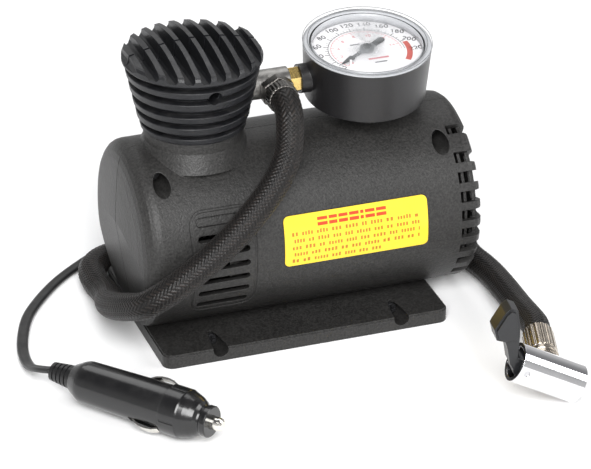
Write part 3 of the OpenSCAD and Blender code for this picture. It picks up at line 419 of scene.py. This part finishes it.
def braid_mat():
    m, nt, b = tree("hose_braid")
    at = nt.nodes.new("ShaderNodeAttribute")
    at.attribute_name = "braid"
    tc = nt.nodes.new("ShaderNodeTexCoord")
    big = noise_tex(nt, tc.outputs["Object"], 40.0, 3.0)
    fine = noise_tex(nt, tc.outputs["Object"], 5200.0, 2.0)
    sep = nt.nodes.new("ShaderNodeSeparateColor")
    link(nt, at.outputs["Color"], sep.inputs[0])
    c = mix(nt, sep.outputs[1], (0.005, 0.0045, 0.0045), (0.030, 0.022, 0.018))
    # the braid's valleys, where the strand height h is low, are painted near black: painted shade between the strands
    valley_shade = ramp(nt, sep.outputs[0], [(0.45, 0.0), (0.92, 1.0)])
    c = mix(nt, valley_shade, (0.0012, 0.0012, 0.0012), c)
    c = mix(nt, 1.0, c, ramp(nt, big.outputs["Fac"], [(0.3, 0.75), (0.7, 1.0)]), "MULTIPLY")
    c = mix(nt, 1.0, c, ramp(nt, fine.outputs["Fac"], [(0.3, 0.6), (0.7, 1.0)]), "MULTIPLY")
    link(nt, c, b.inputs["Base Color"])
    b.inputs["Roughness"].default_value = 0.42
    b.inputs["Sheen Weight"].default_value = 0.04
    b.inputs["Specular IOR Level"].default_value = 0.3
    b.inputs["Sheen Roughness"].default_value = 0.5
    link(nt, bump(nt, fine.outputs["Fac"], 0.00003, 0.8), b.inputs["Normal"])
    return m


MAT["braided_hose"] = braid_mat()
bm = bmesh.new()
lay = bm.verts.layers.float_color.new("braid")
rings = tube(bm, hp, carried_frames(hp), braid_section)
for i, r in enumerate(rings):
    s = hose_len * i / (len(hp) - 1)
    for j, vt in enumerate(r):
        u = j * NS / SIDES
        v = s / LAY
        p, q = u + v, u - v
        ip, iq = math.floor(p), math.floor(q)
        over = ((ip + iq) % 4) < 2
        f = (p - ip) if over else (q - iq)
        h = max(0.0, math.sin(math.pi * f)) ** 0.6
        idx = ip if over else iq
        tone_and_lay_shade = 0.5 + 0.5 * noise.noise(Vector((idx * 3.7, 1.3 if over else 9.1, 0.4)))
        # strands of one lay are painted at 0.45 of their random tone: painted shade on that lay
        tone_and_lay_shade = tone_and_lay_shade * (1.0 if over else 0.45)
        vt[lay] = (h, tone_and_lay_shade, 0.0, 1.0)
hose = add_obj("braided_air_hose", bm, MAT["braided_hose"], "body", replaces=["air_hose"])
# ---------------------------------------------------------------- power lead
tail_pts = [Vector(p) * MM for p in ((-40,51.2,20),(-40,57,19),(-39,64,15.5),(-35,71,12),(-29,77.5,10.8),(-20.6,84.6,10.6))]
lead_pts = [Vector(p) * MM for p in ((-19.4,88,7),(-24.4,81.6,4.4),(-33,76.8,2),(-44,70.5,1.5),(-56,62.7,1.4),(-69,54,1.4),(-84,41.5,1.4),
  (-96,28,1.4),(-105.5,14,1.4),(-112,-2,1.4),(-115.5,-16,1.6),(-116.5,-29,3.4),(-115.2,-38.5,7),(-111.6,-47,10.3))]
CC = Vector((12, 99, 0)) * MM
cols = [23.4, 28.2, 33.0]
lays = [2.5, 5.4, 8.3, 11.2, 14.1]
order = [(2, 3), (2, 4), (1, 4), (0, 4), (0, 3), (1, 3), (1, 2), (0, 2), (0, 1), (1, 1), (0, 0), (1, 0), (2, 0), (2, 1), (2, 2)]


def coil():
    """turns lie beside and on each other, and step to the next place under the tie"""
    pts = []
    steps = 60
    a0 = math.atan2(84.6 - 99, -20.6 - 12)
    a1 = math.atan2(88.0 - 99, -19.4 - 12)
    turns = len(order)
    # travel runs with falling angle from the tail, round behind, to the lead's end
    total = (turns - 1) * 2 * math.pi + (2 * math.pi - (a1 - a0)) * 0 + 2 * math.pi - (a1 - a0)
    n = int(total / (2 * math.pi) * steps)
    for k in range(n + 1):
        th = total * k / n
        a = a0 - th
        # turns are counted from the tie's side, angle 0
        w = (a0 - th) / (2 * math.pi)
        idx = math.floor(-w)          # number of times the tie has been passed
        idx = int(idx) if idx > 0 else 0
        past = (-w) - math.floor(-w)
        i0 = min(turns - 1, max(0, math.floor(-w) + 0))
        i0 = max(0, int(math.floor(-w)) + (1 if a0 < 0 else 0))
        i0 = min(turns - 1, i0)
        i1 = min(turns - 1, i0 + 1)
        f = past
        win = 0.055
        if f > 1 - win:
            t = (f - (1 - win)) / (2 * win)
            A, B = order[i0], order[i1]
        elif f < win:
            t = 0.5 + f / (2 * win)
            A, B = order[max(0, i0 - 1)], order[i0]
        else:
            t = 0.0
            A, B = order[i0], order[i0]
        t = t * t * (3 - 2 * t)
        r = cols[A[0]] * (1 - t) + cols[B[0]] * t
        z = lays[A[1]] * (1 - t) + lays[B[1]] * t
        r += 0.28 * noise.noise(Vector((math.cos(a) * 1.3 + i0 * 3.1, math.sin(a) * 1.3, i0 * 0.7)))
        pts.append(CC + Vector((r * math.cos(a), r * math.sin(a), z)) * MM)
    return pts


cp = coil()
tail = smooth_path(tail_pts, 10)
lead = smooth_path(lead_pts, 10)
whole = tail[:-3] + cp[2:-2] + lead[3:]
# ease the joins
for _ in range(3):
    for idx in list(range(len(tail) - 9, len(tail) + 7)) + list(range(len(tail) + len(cp) - 14, len(tail) + len(cp) + 4)):
        if 0 < idx < len(whole) - 1:
            whole[idx] = (whole[idx - 1] + whole[idx] * 2 + whole[idx + 1]) / 4
wp, lead_len = even(whole, 1.25 * MM)
LW, LT = 4.8 * MM, 2.5 * MM


def twin(i):
    out = []
    for j in range(20):
        a = 2 * math.pi * j / 20
        c, s = math.cos(a), math.sin(a)
        x = math.copysign(abs(c) ** 0.85, c) * LW / 2
        # two round cores side by side with a groove between
        d = abs(x) / (LW / 2)
        y = math.copysign(1, s) * (abs(s) ** 0.75) * LT / 2
        y *= 1 - 0.34 * math.exp(-(d / 0.16) ** 2)
        out.append((x, y))
    return out


bm = bmesh.new()
tube(bm, wp, frames(wp), twin)
leadob = add_obj("twin_power_lead", bm, MAT["cord_rubber"], "body", replaces=["power_lead", "lead_coil"])
print("hose", round(hose_len, 4), "lead", round(lead_len, 4))


# ---------------------------------------------------------------- painted marks
def paint_mat(name, rough=0.45, coat=0.0):
    m, nt, b = tree(name)
    at = nt.nodes.new("ShaderNodeAttribute")
    at.attribute_name = "ink"
    tc = nt.nodes.new("ShaderNodeTexCoord")
    n = noise_tex(nt, tc.outputs["Object"], 900.0, 3.0)
    c = mix(nt, 1.0, at.outputs["Color"], ramp(nt, n.outputs["Fac"], [(0.3, 0.86), (0.7, 1.0)]), "MULTIPLY")
    link(nt, c, b.inputs["Base Color"])
    rr = math_n(nt, "ADD", math_n(nt, "MULTIPLY", n.outputs["Fac"], 0.1), rough - 0.05)
    link(nt, rr, b.inputs["Roughness"])
    if coat:
        b.inputs["Coat Weight"].default_value = coat
    return m


def prism(bm, lay, pts, z0, z1, col, place):
    """a thin solid plate with the outline pts"""
    area2 = sum(a[0] * b[1] - b[0] * a[1] for a, b in zip(pts, pts[1:] + pts[:1]))
    if area2 < 0:
        pts = pts[::-1]
    lo = [bm.verts.new(place(x, y, z0)) for x, y in pts]
    hi = [bm.verts.new(place(x, y, z1)) for x, y in pts]
    for v in lo + hi:
        v[lay] = (col[0], col[1], col[2], 1.0)
    bm.faces.new(hi)
    bm.faces.new(lo[::-1])
    n = len(pts)
    for i in range(n):
        bm.faces.new((lo[i], lo[(i + 1) % n], hi[(i + 1) % n], hi[i]))


def arc_band(bm, lay, r0, r1, a0, a1, z0, z1, col, place, step=2.0):
    n = max(2, int(abs(a1 - a0) / step))
    A = [math.radians(a0 + (a1 - a0) * i / n) for i in range(n + 1)]
    for p, q in zip(A, A[1:]):
        prism(bm, lay, [(r0 * math.cos(p), r0 * math.sin(p)), (r1 * math.cos(p), r1 * math.sin(p)),
                        (r1 * math.cos(q), r1 * math.sin(q)), (r0 * math.cos(q), r0 * math.sin(q))], z0, z1, col, place)


def stroke(bm, lay, pts, w, z0, z1, col, place):
    """a pen line of width w through pts, mitred at the bends"""
    P = [Vector((x, y)) for x, y in pts]
    L, R_ = [], []
    for i, p in enumerate(P):
        d = (P[min(i + 1, len(P) - 1)] - P[max(i - 1, 0)]).normalized()
        nrm = Vector((-d.y, d.x)) * w / 2
        L.append(p + nrm)
        R_.append(p - nrm)
    for i in range(len(P) - 1):
        q = [L[i], L[i + 1], R_[i + 1], R_[i]]
        prism(bm, lay, [(v.x, v.y) for v in q], z0, z1, col, place)


def ell(cx, cy, rx, ry, a0, a1, n=10):
    return [(cx + rx * math.cos(math.radians(a0 + (a1 - a0) * i / n)), cy + ry * math.sin(math.radians(a0 + (a1 - a0) * i / n)))
            for i in range(n + 1)]


DIGIT = {
    "0": [ell(0.3, 0.5, 0.26, 0.46, 0, 360, 14)],
    "1": [[(0.12, 0.74), (0.34, 0.96), (0.34, 0.04)]],
    "2": [ell(0.3, 0.70, 0.25, 0.26, 165, -25, 8) + [(0.06, 0.05), (0.56, 0.05)]],
    "4": [[(0.42, 0.04), (0.42, 0.95), (0.04, 0.30), (0.58, 0.30)]],
    "6": [[(0.46, 0.92)] + ell(0.34, 0.52, 0.28, 0.42, 110, 190, 6) + ell(0.31, 0.29, 0.25, 0.25, 180, 540, 12)],
    "8": [ell(0.3, 0.72, 0.20, 0.22, 0, 360, 12), ell(0.3, 0.27, 0.25, 0.25, 0, 360, 12)],
}


def number(bm, lay, txt, cx, cy, h, col, z0, z1, place, w=0.15, turn=0.0):
    adv = 0.78 * h
    x0 = -adv * len(txt) / 2 + 0.09 * h
    ct, st = math.cos(turn), math.sin(turn)
    for k, ch in enumerate(txt):
        for line in DIGIT[ch]:
            pts = []
            for x, y in line:
                X, Y = x0 + adv * k + x * h, (y - 0.5) * h
                pts.append((cx + X * ct - Y * st, cy + X * st + Y * ct))
            stroke(bm, lay, pts, w * h, z0, z1, col, place)


# ---------------------------------------------------------------- gauge
GM = Matrix.Translation(Vector((41.2, 0, 101.5)) * MM) @ Matrix.Rotation(math.radians(7), 4, "X")


def gplace(x, y, z):
    return GM @ (Vector((x, y, z)) * MM)


BLK, RED, PINK = (0.018, 0.018, 0.020), (0.52, 0.085, 0.065), (0.62, 0.16, 0.17)
bm = bmesh.new()
lay = bm.verts.layers.float_color.new("ink")
Z0, Z1 = 8.78, 8.84


def psi_a(v):
    return 219.0 - v * (228.0 / 220.0)


arc_band(bm, lay, 16.1, 16.35, psi_a(0), psi_a(220), Z0, Z1, BLK, gplace)
arc_band(bm, lay, 16.9, 19.3, psi_a(203), -38, Z0, Z1, RED, gplace)
for v in range(0, 221, 5):
    if v > 200:
        continue
    a = math.radians(psi_a(v))
    big = v % 20 == 0
    r1 = 18.3 if big else (17.6 if v % 10 == 0 else 17.2)
    w = 0.34 if big else 0.22
    c, sn = math.cos(a), math.sin(a)
    prism(bm, lay, [(16.2 * c - w / 2 * -sn, 16.2 * sn - w / 2 * c), (r1 * c - w / 2 * -sn, r1 * sn - w / 2 * c),
                    (r1 * c + w / 2 * -sn, r1 * sn + w / 2 * c), (16.2 * c + w / 2 * -sn, 16.2 * sn + w / 2 * c)], Z0, Z1, BLK, gplace)
for v in range(0, 221, 20):
    a = math.radians(psi_a(v))
    number(bm, lay, str(v), 20.9 * math.cos(a), 20.9 * math.sin(a), 2.6, BLK, Z0, Z1, gplace, 0.17, (a - math.pi / 2) * 0.35 if abs(a - math.pi / 2) < 1.4 else 0.0)
arc_band(bm, lay, 15.0, 15.2, psi_a(0), psi_a(220), Z0, Z1, PINK, gplace)
for v in range(0, 31):
    a = math.radians(219.0 - v * 7.55)
    if a < math.radians(-9):
        continue
    c, sn = math.cos(a), math.sin(a)
    r0 = 13.6 if v % 4 == 0 else 14.2
    w = 0.24 if v % 4 == 0 else 0.16
    prism(bm, lay, [(r0 * c - w / 2 * -sn, r0 * sn - w / 2 * c), (15.1 * c - w / 2 * -sn, 15.1 * sn - w / 2 * c),
                    (15.1 * c + w / 2 * -sn, 15.1 * sn + w / 2 * c), (r0 * c + w / 2 * -sn, r0 * sn + w / 2 * c)], Z0, Z1, PINK, gplace)
for v in (0, 2, 4, 6, 8, 10, 12, 14):
    a = math.radians(219.0 - v * 15.1)
    number(bm, lay, str(v), 11.9 * math.cos(a), 11.9 * math.sin(a), 1.7, PINK, Z0, Z1, gplace, 0.17)
# two plain bars where the maker's lettering would stand
prism(bm, lay, [(-1.6, -7.3), (7.4, -7.3), (7.4, -6.1), (-1.6, -6.1)], Z0, Z1, (0.62, 0.20, 0.22), gplace)
prism(bm, lay, [(0.2, -10.2), (5.6, -10.2), (5.6, -9.3), (0.2, -9.3)], Z0, Z1, (0.16, 0.16, 0.17), gplace)
prism(bm, lay, [(-5.4, 5.2), (-1.0, 5.2), (-1.0, 6.1), (-5.4, 6.1)], Z0, Z1, (0.16, 0.16, 0.17), gplace)
add_obj("dial_print", bm, paint_mat("dial_ink"), "body", smooth=False)

# lathe helper, then the clear cover over the dial
def lathe(bm, prof, place, n=128, lay=None, col=None, flute=None):
    rings = []
    for r, z in prof:
        row = []
        for j in range(n):
            a = 2 * math.pi * j / n
            rr = r if flute is None else r + flute(r, z, a)
            row.append(bm.verts.new(place(rr * math.cos(a), rr * math.sin(a), z)))
            if lay is not None:
                row[-1][lay] = (col[0], col[1], col[2], 1.0)
        rings.append(row)
    m = len(rings)
    for i in range(m):
        a_, b_ = rings[i], rings[(i + 1) % m]
        for j in range(n):
            bm.faces.new((a_[j], a_[(j + 1) % n], b_[(j + 1) % n], b_[j]))
    bmesh.ops.recalc_face_normals(bm, faces=bm.faces[:])


bm = bmesh.new()
cr = [(0.05, 13.5), (24.4, 13.5), (24.9, 13.62), (25.3, 13.9), (25.9, 14.0), (26.6, 13.98), (27.05, 13.8), (27.35, 13.45), (27.5, 12.9),
      (27.5, 12.55), (26.9, 12.5), (26.1, 12.3), (25.3, 12.25), (24.35, 12.3), (24.2, 12.0), (24.2, 9.15), (23.9, 9.1), (23.6, 9.2), (23.55, 12.7), (23.2, 12.92), (0.05, 12.95)]
lathe(bm, cr, gplace, 192)
add_obj("lens_cover", bm, MAT["clear_lens"], "body", replaces=["gauge_lens"])

mrim, nt, b = tree("lens_rim_line")
tc = nt.nodes.new("ShaderNodeTexCoord")
nn = noise_tex(nt, tc.outputs["Object"], 60.0, 3.0)
link(nt, ramp(nt, nn.outputs["Fac"], [(0.3, (0.12, 0.125, 0.13)), (0.7, (0.30, 0.31, 0.32))]), b.inputs["Base Color"])
b.inputs["Roughness"].default_value = 0.15
b.inputs["Metallic"].default_value = 0.3
bm = bmesh.new()
for R0, ZC, W in ((25.15, 13.82, 0.16), (27.2, 13.75, 0.14), (23.85, 11.2, 0.14)):
    lathe(bm, [(R0 + W * math.cos(t), ZC + W * math.sin(t)) for t in [2 * math.pi * k / 8 for k in range(8)]], gplace, 160)
add_obj("lens_edge_lines", bm, mrim, "body")
# pale seat under the cover's flange and pale wall round the dial
bm = bmesh.new()
lathe(bm, [(23.3, 8.86), (23.3, 12.7), (23.46, 12.7), (23.46, 8.86)], gplace, 160)
lathe(bm, [(24.35, 12.41), (27.0, 12.41), (27.0, 12.46), (24.35, 12.46)], gplace, 160)
mlip = surface("pale_seat", (0.50, 0.51, 0.53), 0.3, var=0.1)
add_obj("dial_wall", bm, mlip, "body")

# needle: tapered pointer with an arrow head, broad rounded tail, domed hub
NM = GM @ Matrix.Rotation(math.radians(212), 4, "Z")


def nplace(x, y, z):
    return NM @ (Vector((x, y, z)) * MM)


bm = bmesh.new()
lay = bm.verts.layers.float_color.new("ink")
up = [(0, 1.0), (9.2, 0.62), (9.6, 1.35), (11.6, 1.15), (16.6, 0.16)]
tail_o = [(-9.6 - 1.5 * math.sin(t), 1.55 * math.cos(t)) for t in [math.pi * k / 10 for k in range(11)]]
outline = up + [(16.9, 0.0)] + [(x, -y) for x, y in up[::-1]] + tail_o[::-1]
prism(bm, lay, outline, 9.72, 10.15, (0.030, 0.032, 0.033), nplace)
prism(bm, lay, [(-10.6, -0.45), (-10.6, 0.45), (-2.0, 0.5), (-2.0, -0.5)], 10.14, 10.30, (0.045, 0.048, 0.05), nplace)
hub = [(0.05, 9.3), (2.3, 9.3), (2.9, 9.5), (3.0, 9.9), (2.9, 10.5), (2.5, 10.9), (1.7, 11.15), (0.8, 11.25), (0.05, 11.27)]
lathe(bm, hub, nplace, 48, lay, (0.032, 0.034, 0.035))
lathe(bm, [(0.05, 3.3), (0.68, 3.3), (0.68, 9.3), (0.05, 9.3)], nplace, 24, lay, (0.2, 0.2, 0.2))
add_obj("needle_pointer", bm, paint_mat("needle_ink", 0.5), "needle", smooth=False, replaces=["gauge_needle"])

# ---------------------------------------------------------------- label print
bm = bmesh.new()
lay = bm.verts.layers.float_color.new("ink")
RB = 40.02


def bplace(x, z, h):
    """a point on the barrel's front at height z, standing h off it"""
    a = math.asin(max(-1, min(1, (z - 42) / RB)))
    r = RB + h
    return Vector((x, -r * math.cos(a), 42 + r * math.sin(a))) * MM


def bar(x0, x1, z0, z1, col):
    prism(bm, lay, [(x0, z0), (x1, z0), (x1, z1), (x0, z1)], 0.0, 0.075, col, bplace)


# a bold heading bar built of blocks, then rows of short blocks: no lettering
rs = noise
ORG = (0.46, 0.17, 0.012)
x = 6.2
for wd in (4.4, 3.6, 4.0, 4.2, 1.4, 4.2, 4.4):
    bar(x, x + wd, 52.3, 55.8, (0.52, 0.05, 0.010))
    x += wd + 0.7
zr = 50.2
for row in range(5):
    x = -5.2 + (0.8 if row % 2 else 0)
    end = 51.5 if row < 4 else 36.0
    k = 0
    while x < end:
        wd = 2.6 + 5.4 * abs(noise.noise(Vector((row * 2.3, k * 1.7, 0.5)))) * 1.6
        wd = min(wd, end - x)
        if wd > 0.6:
            n = max(1, int(wd / 1.25))
            for q in range(n):
                bw = wd / n
                hz = 1.5 + 0.35 * noise.noise(Vector((row * 1.1, k * 3.1 + q * 2.3, 4.5)))
                bar(x + q * bw, x + q * bw + bw * 0.58, zr - 0.85, zr - 0.85 + hz, ORG)
        x += wd + 1.3
        k += 1
    zr -= 3.0
add_obj("label_print", bm, paint_mat("label_ink", 0.4), "body", smooth=False)

# ---------------------------------------------------------------- fluted hose fittings
def frame_from(o, d):
    d = Vector(d).normalized()
    sd = d.cross(Vector((0, 0, 1))).normalized()
    u = sd.cross(d)
    m = Matrix((sd, u, d)).transposed().to_4x4()
    return Matrix.Translation(Vector(o) * MM) @ m


def hexr(r_in, a):
    k = (a + math.pi / 6) % (math.pi / 3) - math.pi / 6
    return r_in / math.cos(k)


HN = frame_from((-1, -6.4, 101.5), (0, -1, 0))
bm = bmesh.new()
rings = []
prof = [(0.1, 5.6, 0), (0.0, 6.1, 1), (0.5, 6.55, 1), (4.1, 6.55, 1), (4.6, 6.2, 1), (4.65, 5.7, 0), (5.0, 5.7, 0), (5.1, 6.3, 2), (5.5, 6.75, 2), (10.6, 6.75, 2),
        (11.1, 6.35, 2), (11.2, 6.0, 0), (9.0, 5.95, 0), (0.2, 5.5, 0)]
n = 192
for z, r, kind in prof:
    row = []
    for j in range(n):
        a = 2 * math.pi * j / n
        if kind == 1:
            rr = min(hexr(r, a), 7.3)
        elif kind == 2:
            rr = r - 0.32 * (0.5 + 0.5 * math.cos(24 * a)) ** 2
        else:
            rr = r
        row.append(bm.verts.new(HN @ (Vector((rr * math.cos(a), rr * math.sin(a), z)) * MM)))
    rings.append(row)
for i in range(len(rings)):
    a_, b_ = rings[i], rings[(i + 1) % len(rings)]
    for j in range(n):
        bm.faces.new((a_[j], a_[(j + 1) % n], b_[(j + 1) % n], b_[j]))
bmesh.ops.recalc_face_normals(bm, faces=bm.faces[:])
add_obj("hose_nut_fluted", bm, MAT["dark_nickel"], "body", smooth=False, replaces=["hose_nut"])

EF = frame_from((75.3, -121.6, 14.0), (0.2598, 0.9629, 0.0732))
bm = bmesh.new()
rings = []
prof = [(7.4, 5.2, 0), (7.5, 6.1, 0), (9.2, 6.3, 0), (9.4, 6.6, 0), (11.6, 6.6, 0), (11.9, 6.1, 0), (12.5, 6.1, 0), (12.7, 6.45, 2), (13.0, 6.6, 2),
        (27.6, 6.6, 2), (28.0, 6.3, 2), (28.0, 6.0, 0), (26.6, 5.95, 0), (7.6, 5.0, 0)]
for z, r, kind in prof:
    row = []
    for j in range(n):
        a = 2 * math.pi * j / n
        rr = r - (0.42 * (0.5 + 0.5 * math.cos(16 * a)) ** 2 if kind == 2 else 0)
        row.append(bm.verts.new(EF @ (Vector((rr * math.cos(a), rr * math.sin(a), z)) * MM)))
    rings.append(row)
for i in range(len(rings)):
    a_, b_ = rings[i], rings[(i + 1) % len(rings)]
    for j in range(n):
        bm.faces.new((a_[j], a_[(j + 1) % n], b_[(j + 1) % n], b_[j]))
bmesh.ops.recalc_face_normals(bm, faces=bm.faces[:])
ferrule = add_obj("hose_ferrule_fluted", bm, MAT["ferrule_nickel"], "body", smooth=False, replaces=["hose_end_ferrule"])


# ---------------------------------------------------------------- softened edges
def soften(name, width, seg=2, ang=34):
    o = N[name]
    dc = o.modifiers.new("merge_flat", "DECIMATE")
    dc.decimate_type = "DISSOLVE"
    dc.angle_limit = math.radians(0.6)
    bv = o.modifiers.new("soft_edge", "BEVEL")
    bv.width = width * MM
    bv.segments = seg
    bv.limit_method = "ANGLE"
    bv.angle_limit = math.radians(ang)
    bv.harden_normals = False
    bv.use_clamp_overlap = True
    for p in o.data.polygons:
        p.use_smooth = True


for nm, wd in (("chuck_lever", 0.5), ("coil_tie", 0.35), ("gauge_nut", 0.25), ("gauge_socket", 0.2), ("head_cover_front", 0.42),
               ("head_cover_rear", 0.42), ("front_shell", 0.4), ("rear_shell", 0.4), ("plug_cap", 0.3), ("gauge_case", 0.4)):
    soften(nm, wd)


# ---------------------------------------------------------------- stage
def plane(name, z, size, mat, center=(0, 0)):
    bm = bmesh.new()
    v = [bm.verts.new((center[0] + sx * size, center[1] + sy * size, z)) for sx, sy in ((-1, -1), (1, -1), (1, 1), (-1, 1))]
    bm.faces.new(v)
    me = bpy.data.meshes.new(name)
    bm.to_mesh(me)
    bm.free()
    ob = bpy.data.objects.new(name, me)
    scene.collection.objects.link(ob)
    me.materials.append(mat)
    return ob


mfl, nt, b = tree("studio_floor")
b.inputs["Base Color"].default_value = (0.985, 0.985, 0.985, 1)
b.inputs["Roughness"].default_value = 0.8
b.inputs["Specular IOR Level"].default_value = 0.1
plane("studio_floor", 0.0, 3.0, mfl)

w = bpy.data.worlds.new("studio")
scene.world = w
w.use_nodes = True
wt = w.node_tree
bg = wt.nodes["Background"]
wtc = wt.nodes.new("ShaderNodeTexCoord")
wsx = wt.nodes.new("ShaderNodeSeparateXYZ")
wt.links.new(wtc.outputs["Generated"], wsx.inputs[0])
wr = ramp(wt, wsx.outputs["Z"], [(0.0, (0.95, 0.95, 0.95)), (0.30, (0.85, 0.85, 0.85)), (0.62, (0.28, 0.28, 0.29)), (1.0, (0.16, 0.16, 0.17))])
wt.links.new(wr, bg.inputs["Color"])
bg.inputs["Strength"].default_value = 0.70


def area(name, loc, target, size, power, size_y=None):
    l = bpy.data.lights.new(name, "AREA")
    l.energy = power
    l.shape = "RECTANGLE"
    l.size = size
    l.size_y = size_y or size
    o = bpy.data.objects.new(name, l)
    scene.collection.objects.link(o)
    o.location = loc
    o.rotation_euler = (Vector(target) - Vector(loc)).to_track_quat("-Z", "Y").to_euler()
    return o


area("key_soft", (-0.45, -1.25, 1.05), (0, 0, 0.05), 1.0, 37)
area("fill_right", (1.2, -0.7, 0.85), (0, 0, 0.05), 0.8, 10)
area("top_soft", (0.1, 0.9, 1.5), (0.1, 0.45, 0.0), 1.3, 11)

# ---------------------------------------------------------------- camera
cam = bpy.data.cameras.new("camera")
cam.sensor_width = 36
cam.sensor_fit = "HORIZONTAL"
cam.lens = 36 * 3676.98 / 591
co = bpy.data.objects.new("camera", cam)
scene.collection.objects.link(co)
az, el, D = math.radians(-19.3295), math.radians(28.029), 1.56767
aim = Vector((0.009997, 0.0, 0.028064))
back = Vector((math.sin(az) * math.cos(el), -math.cos(az) * math.cos(el), math.sin(el)))
co.location = aim + back * D
co.rotation_euler = (-back).to_track_quat("-Z", "Y").to_euler()
cam.clip_end = 20
scene.camera = co
scene.view_settings.view_transform = "Standard"
scene.view_settings.look = "None"
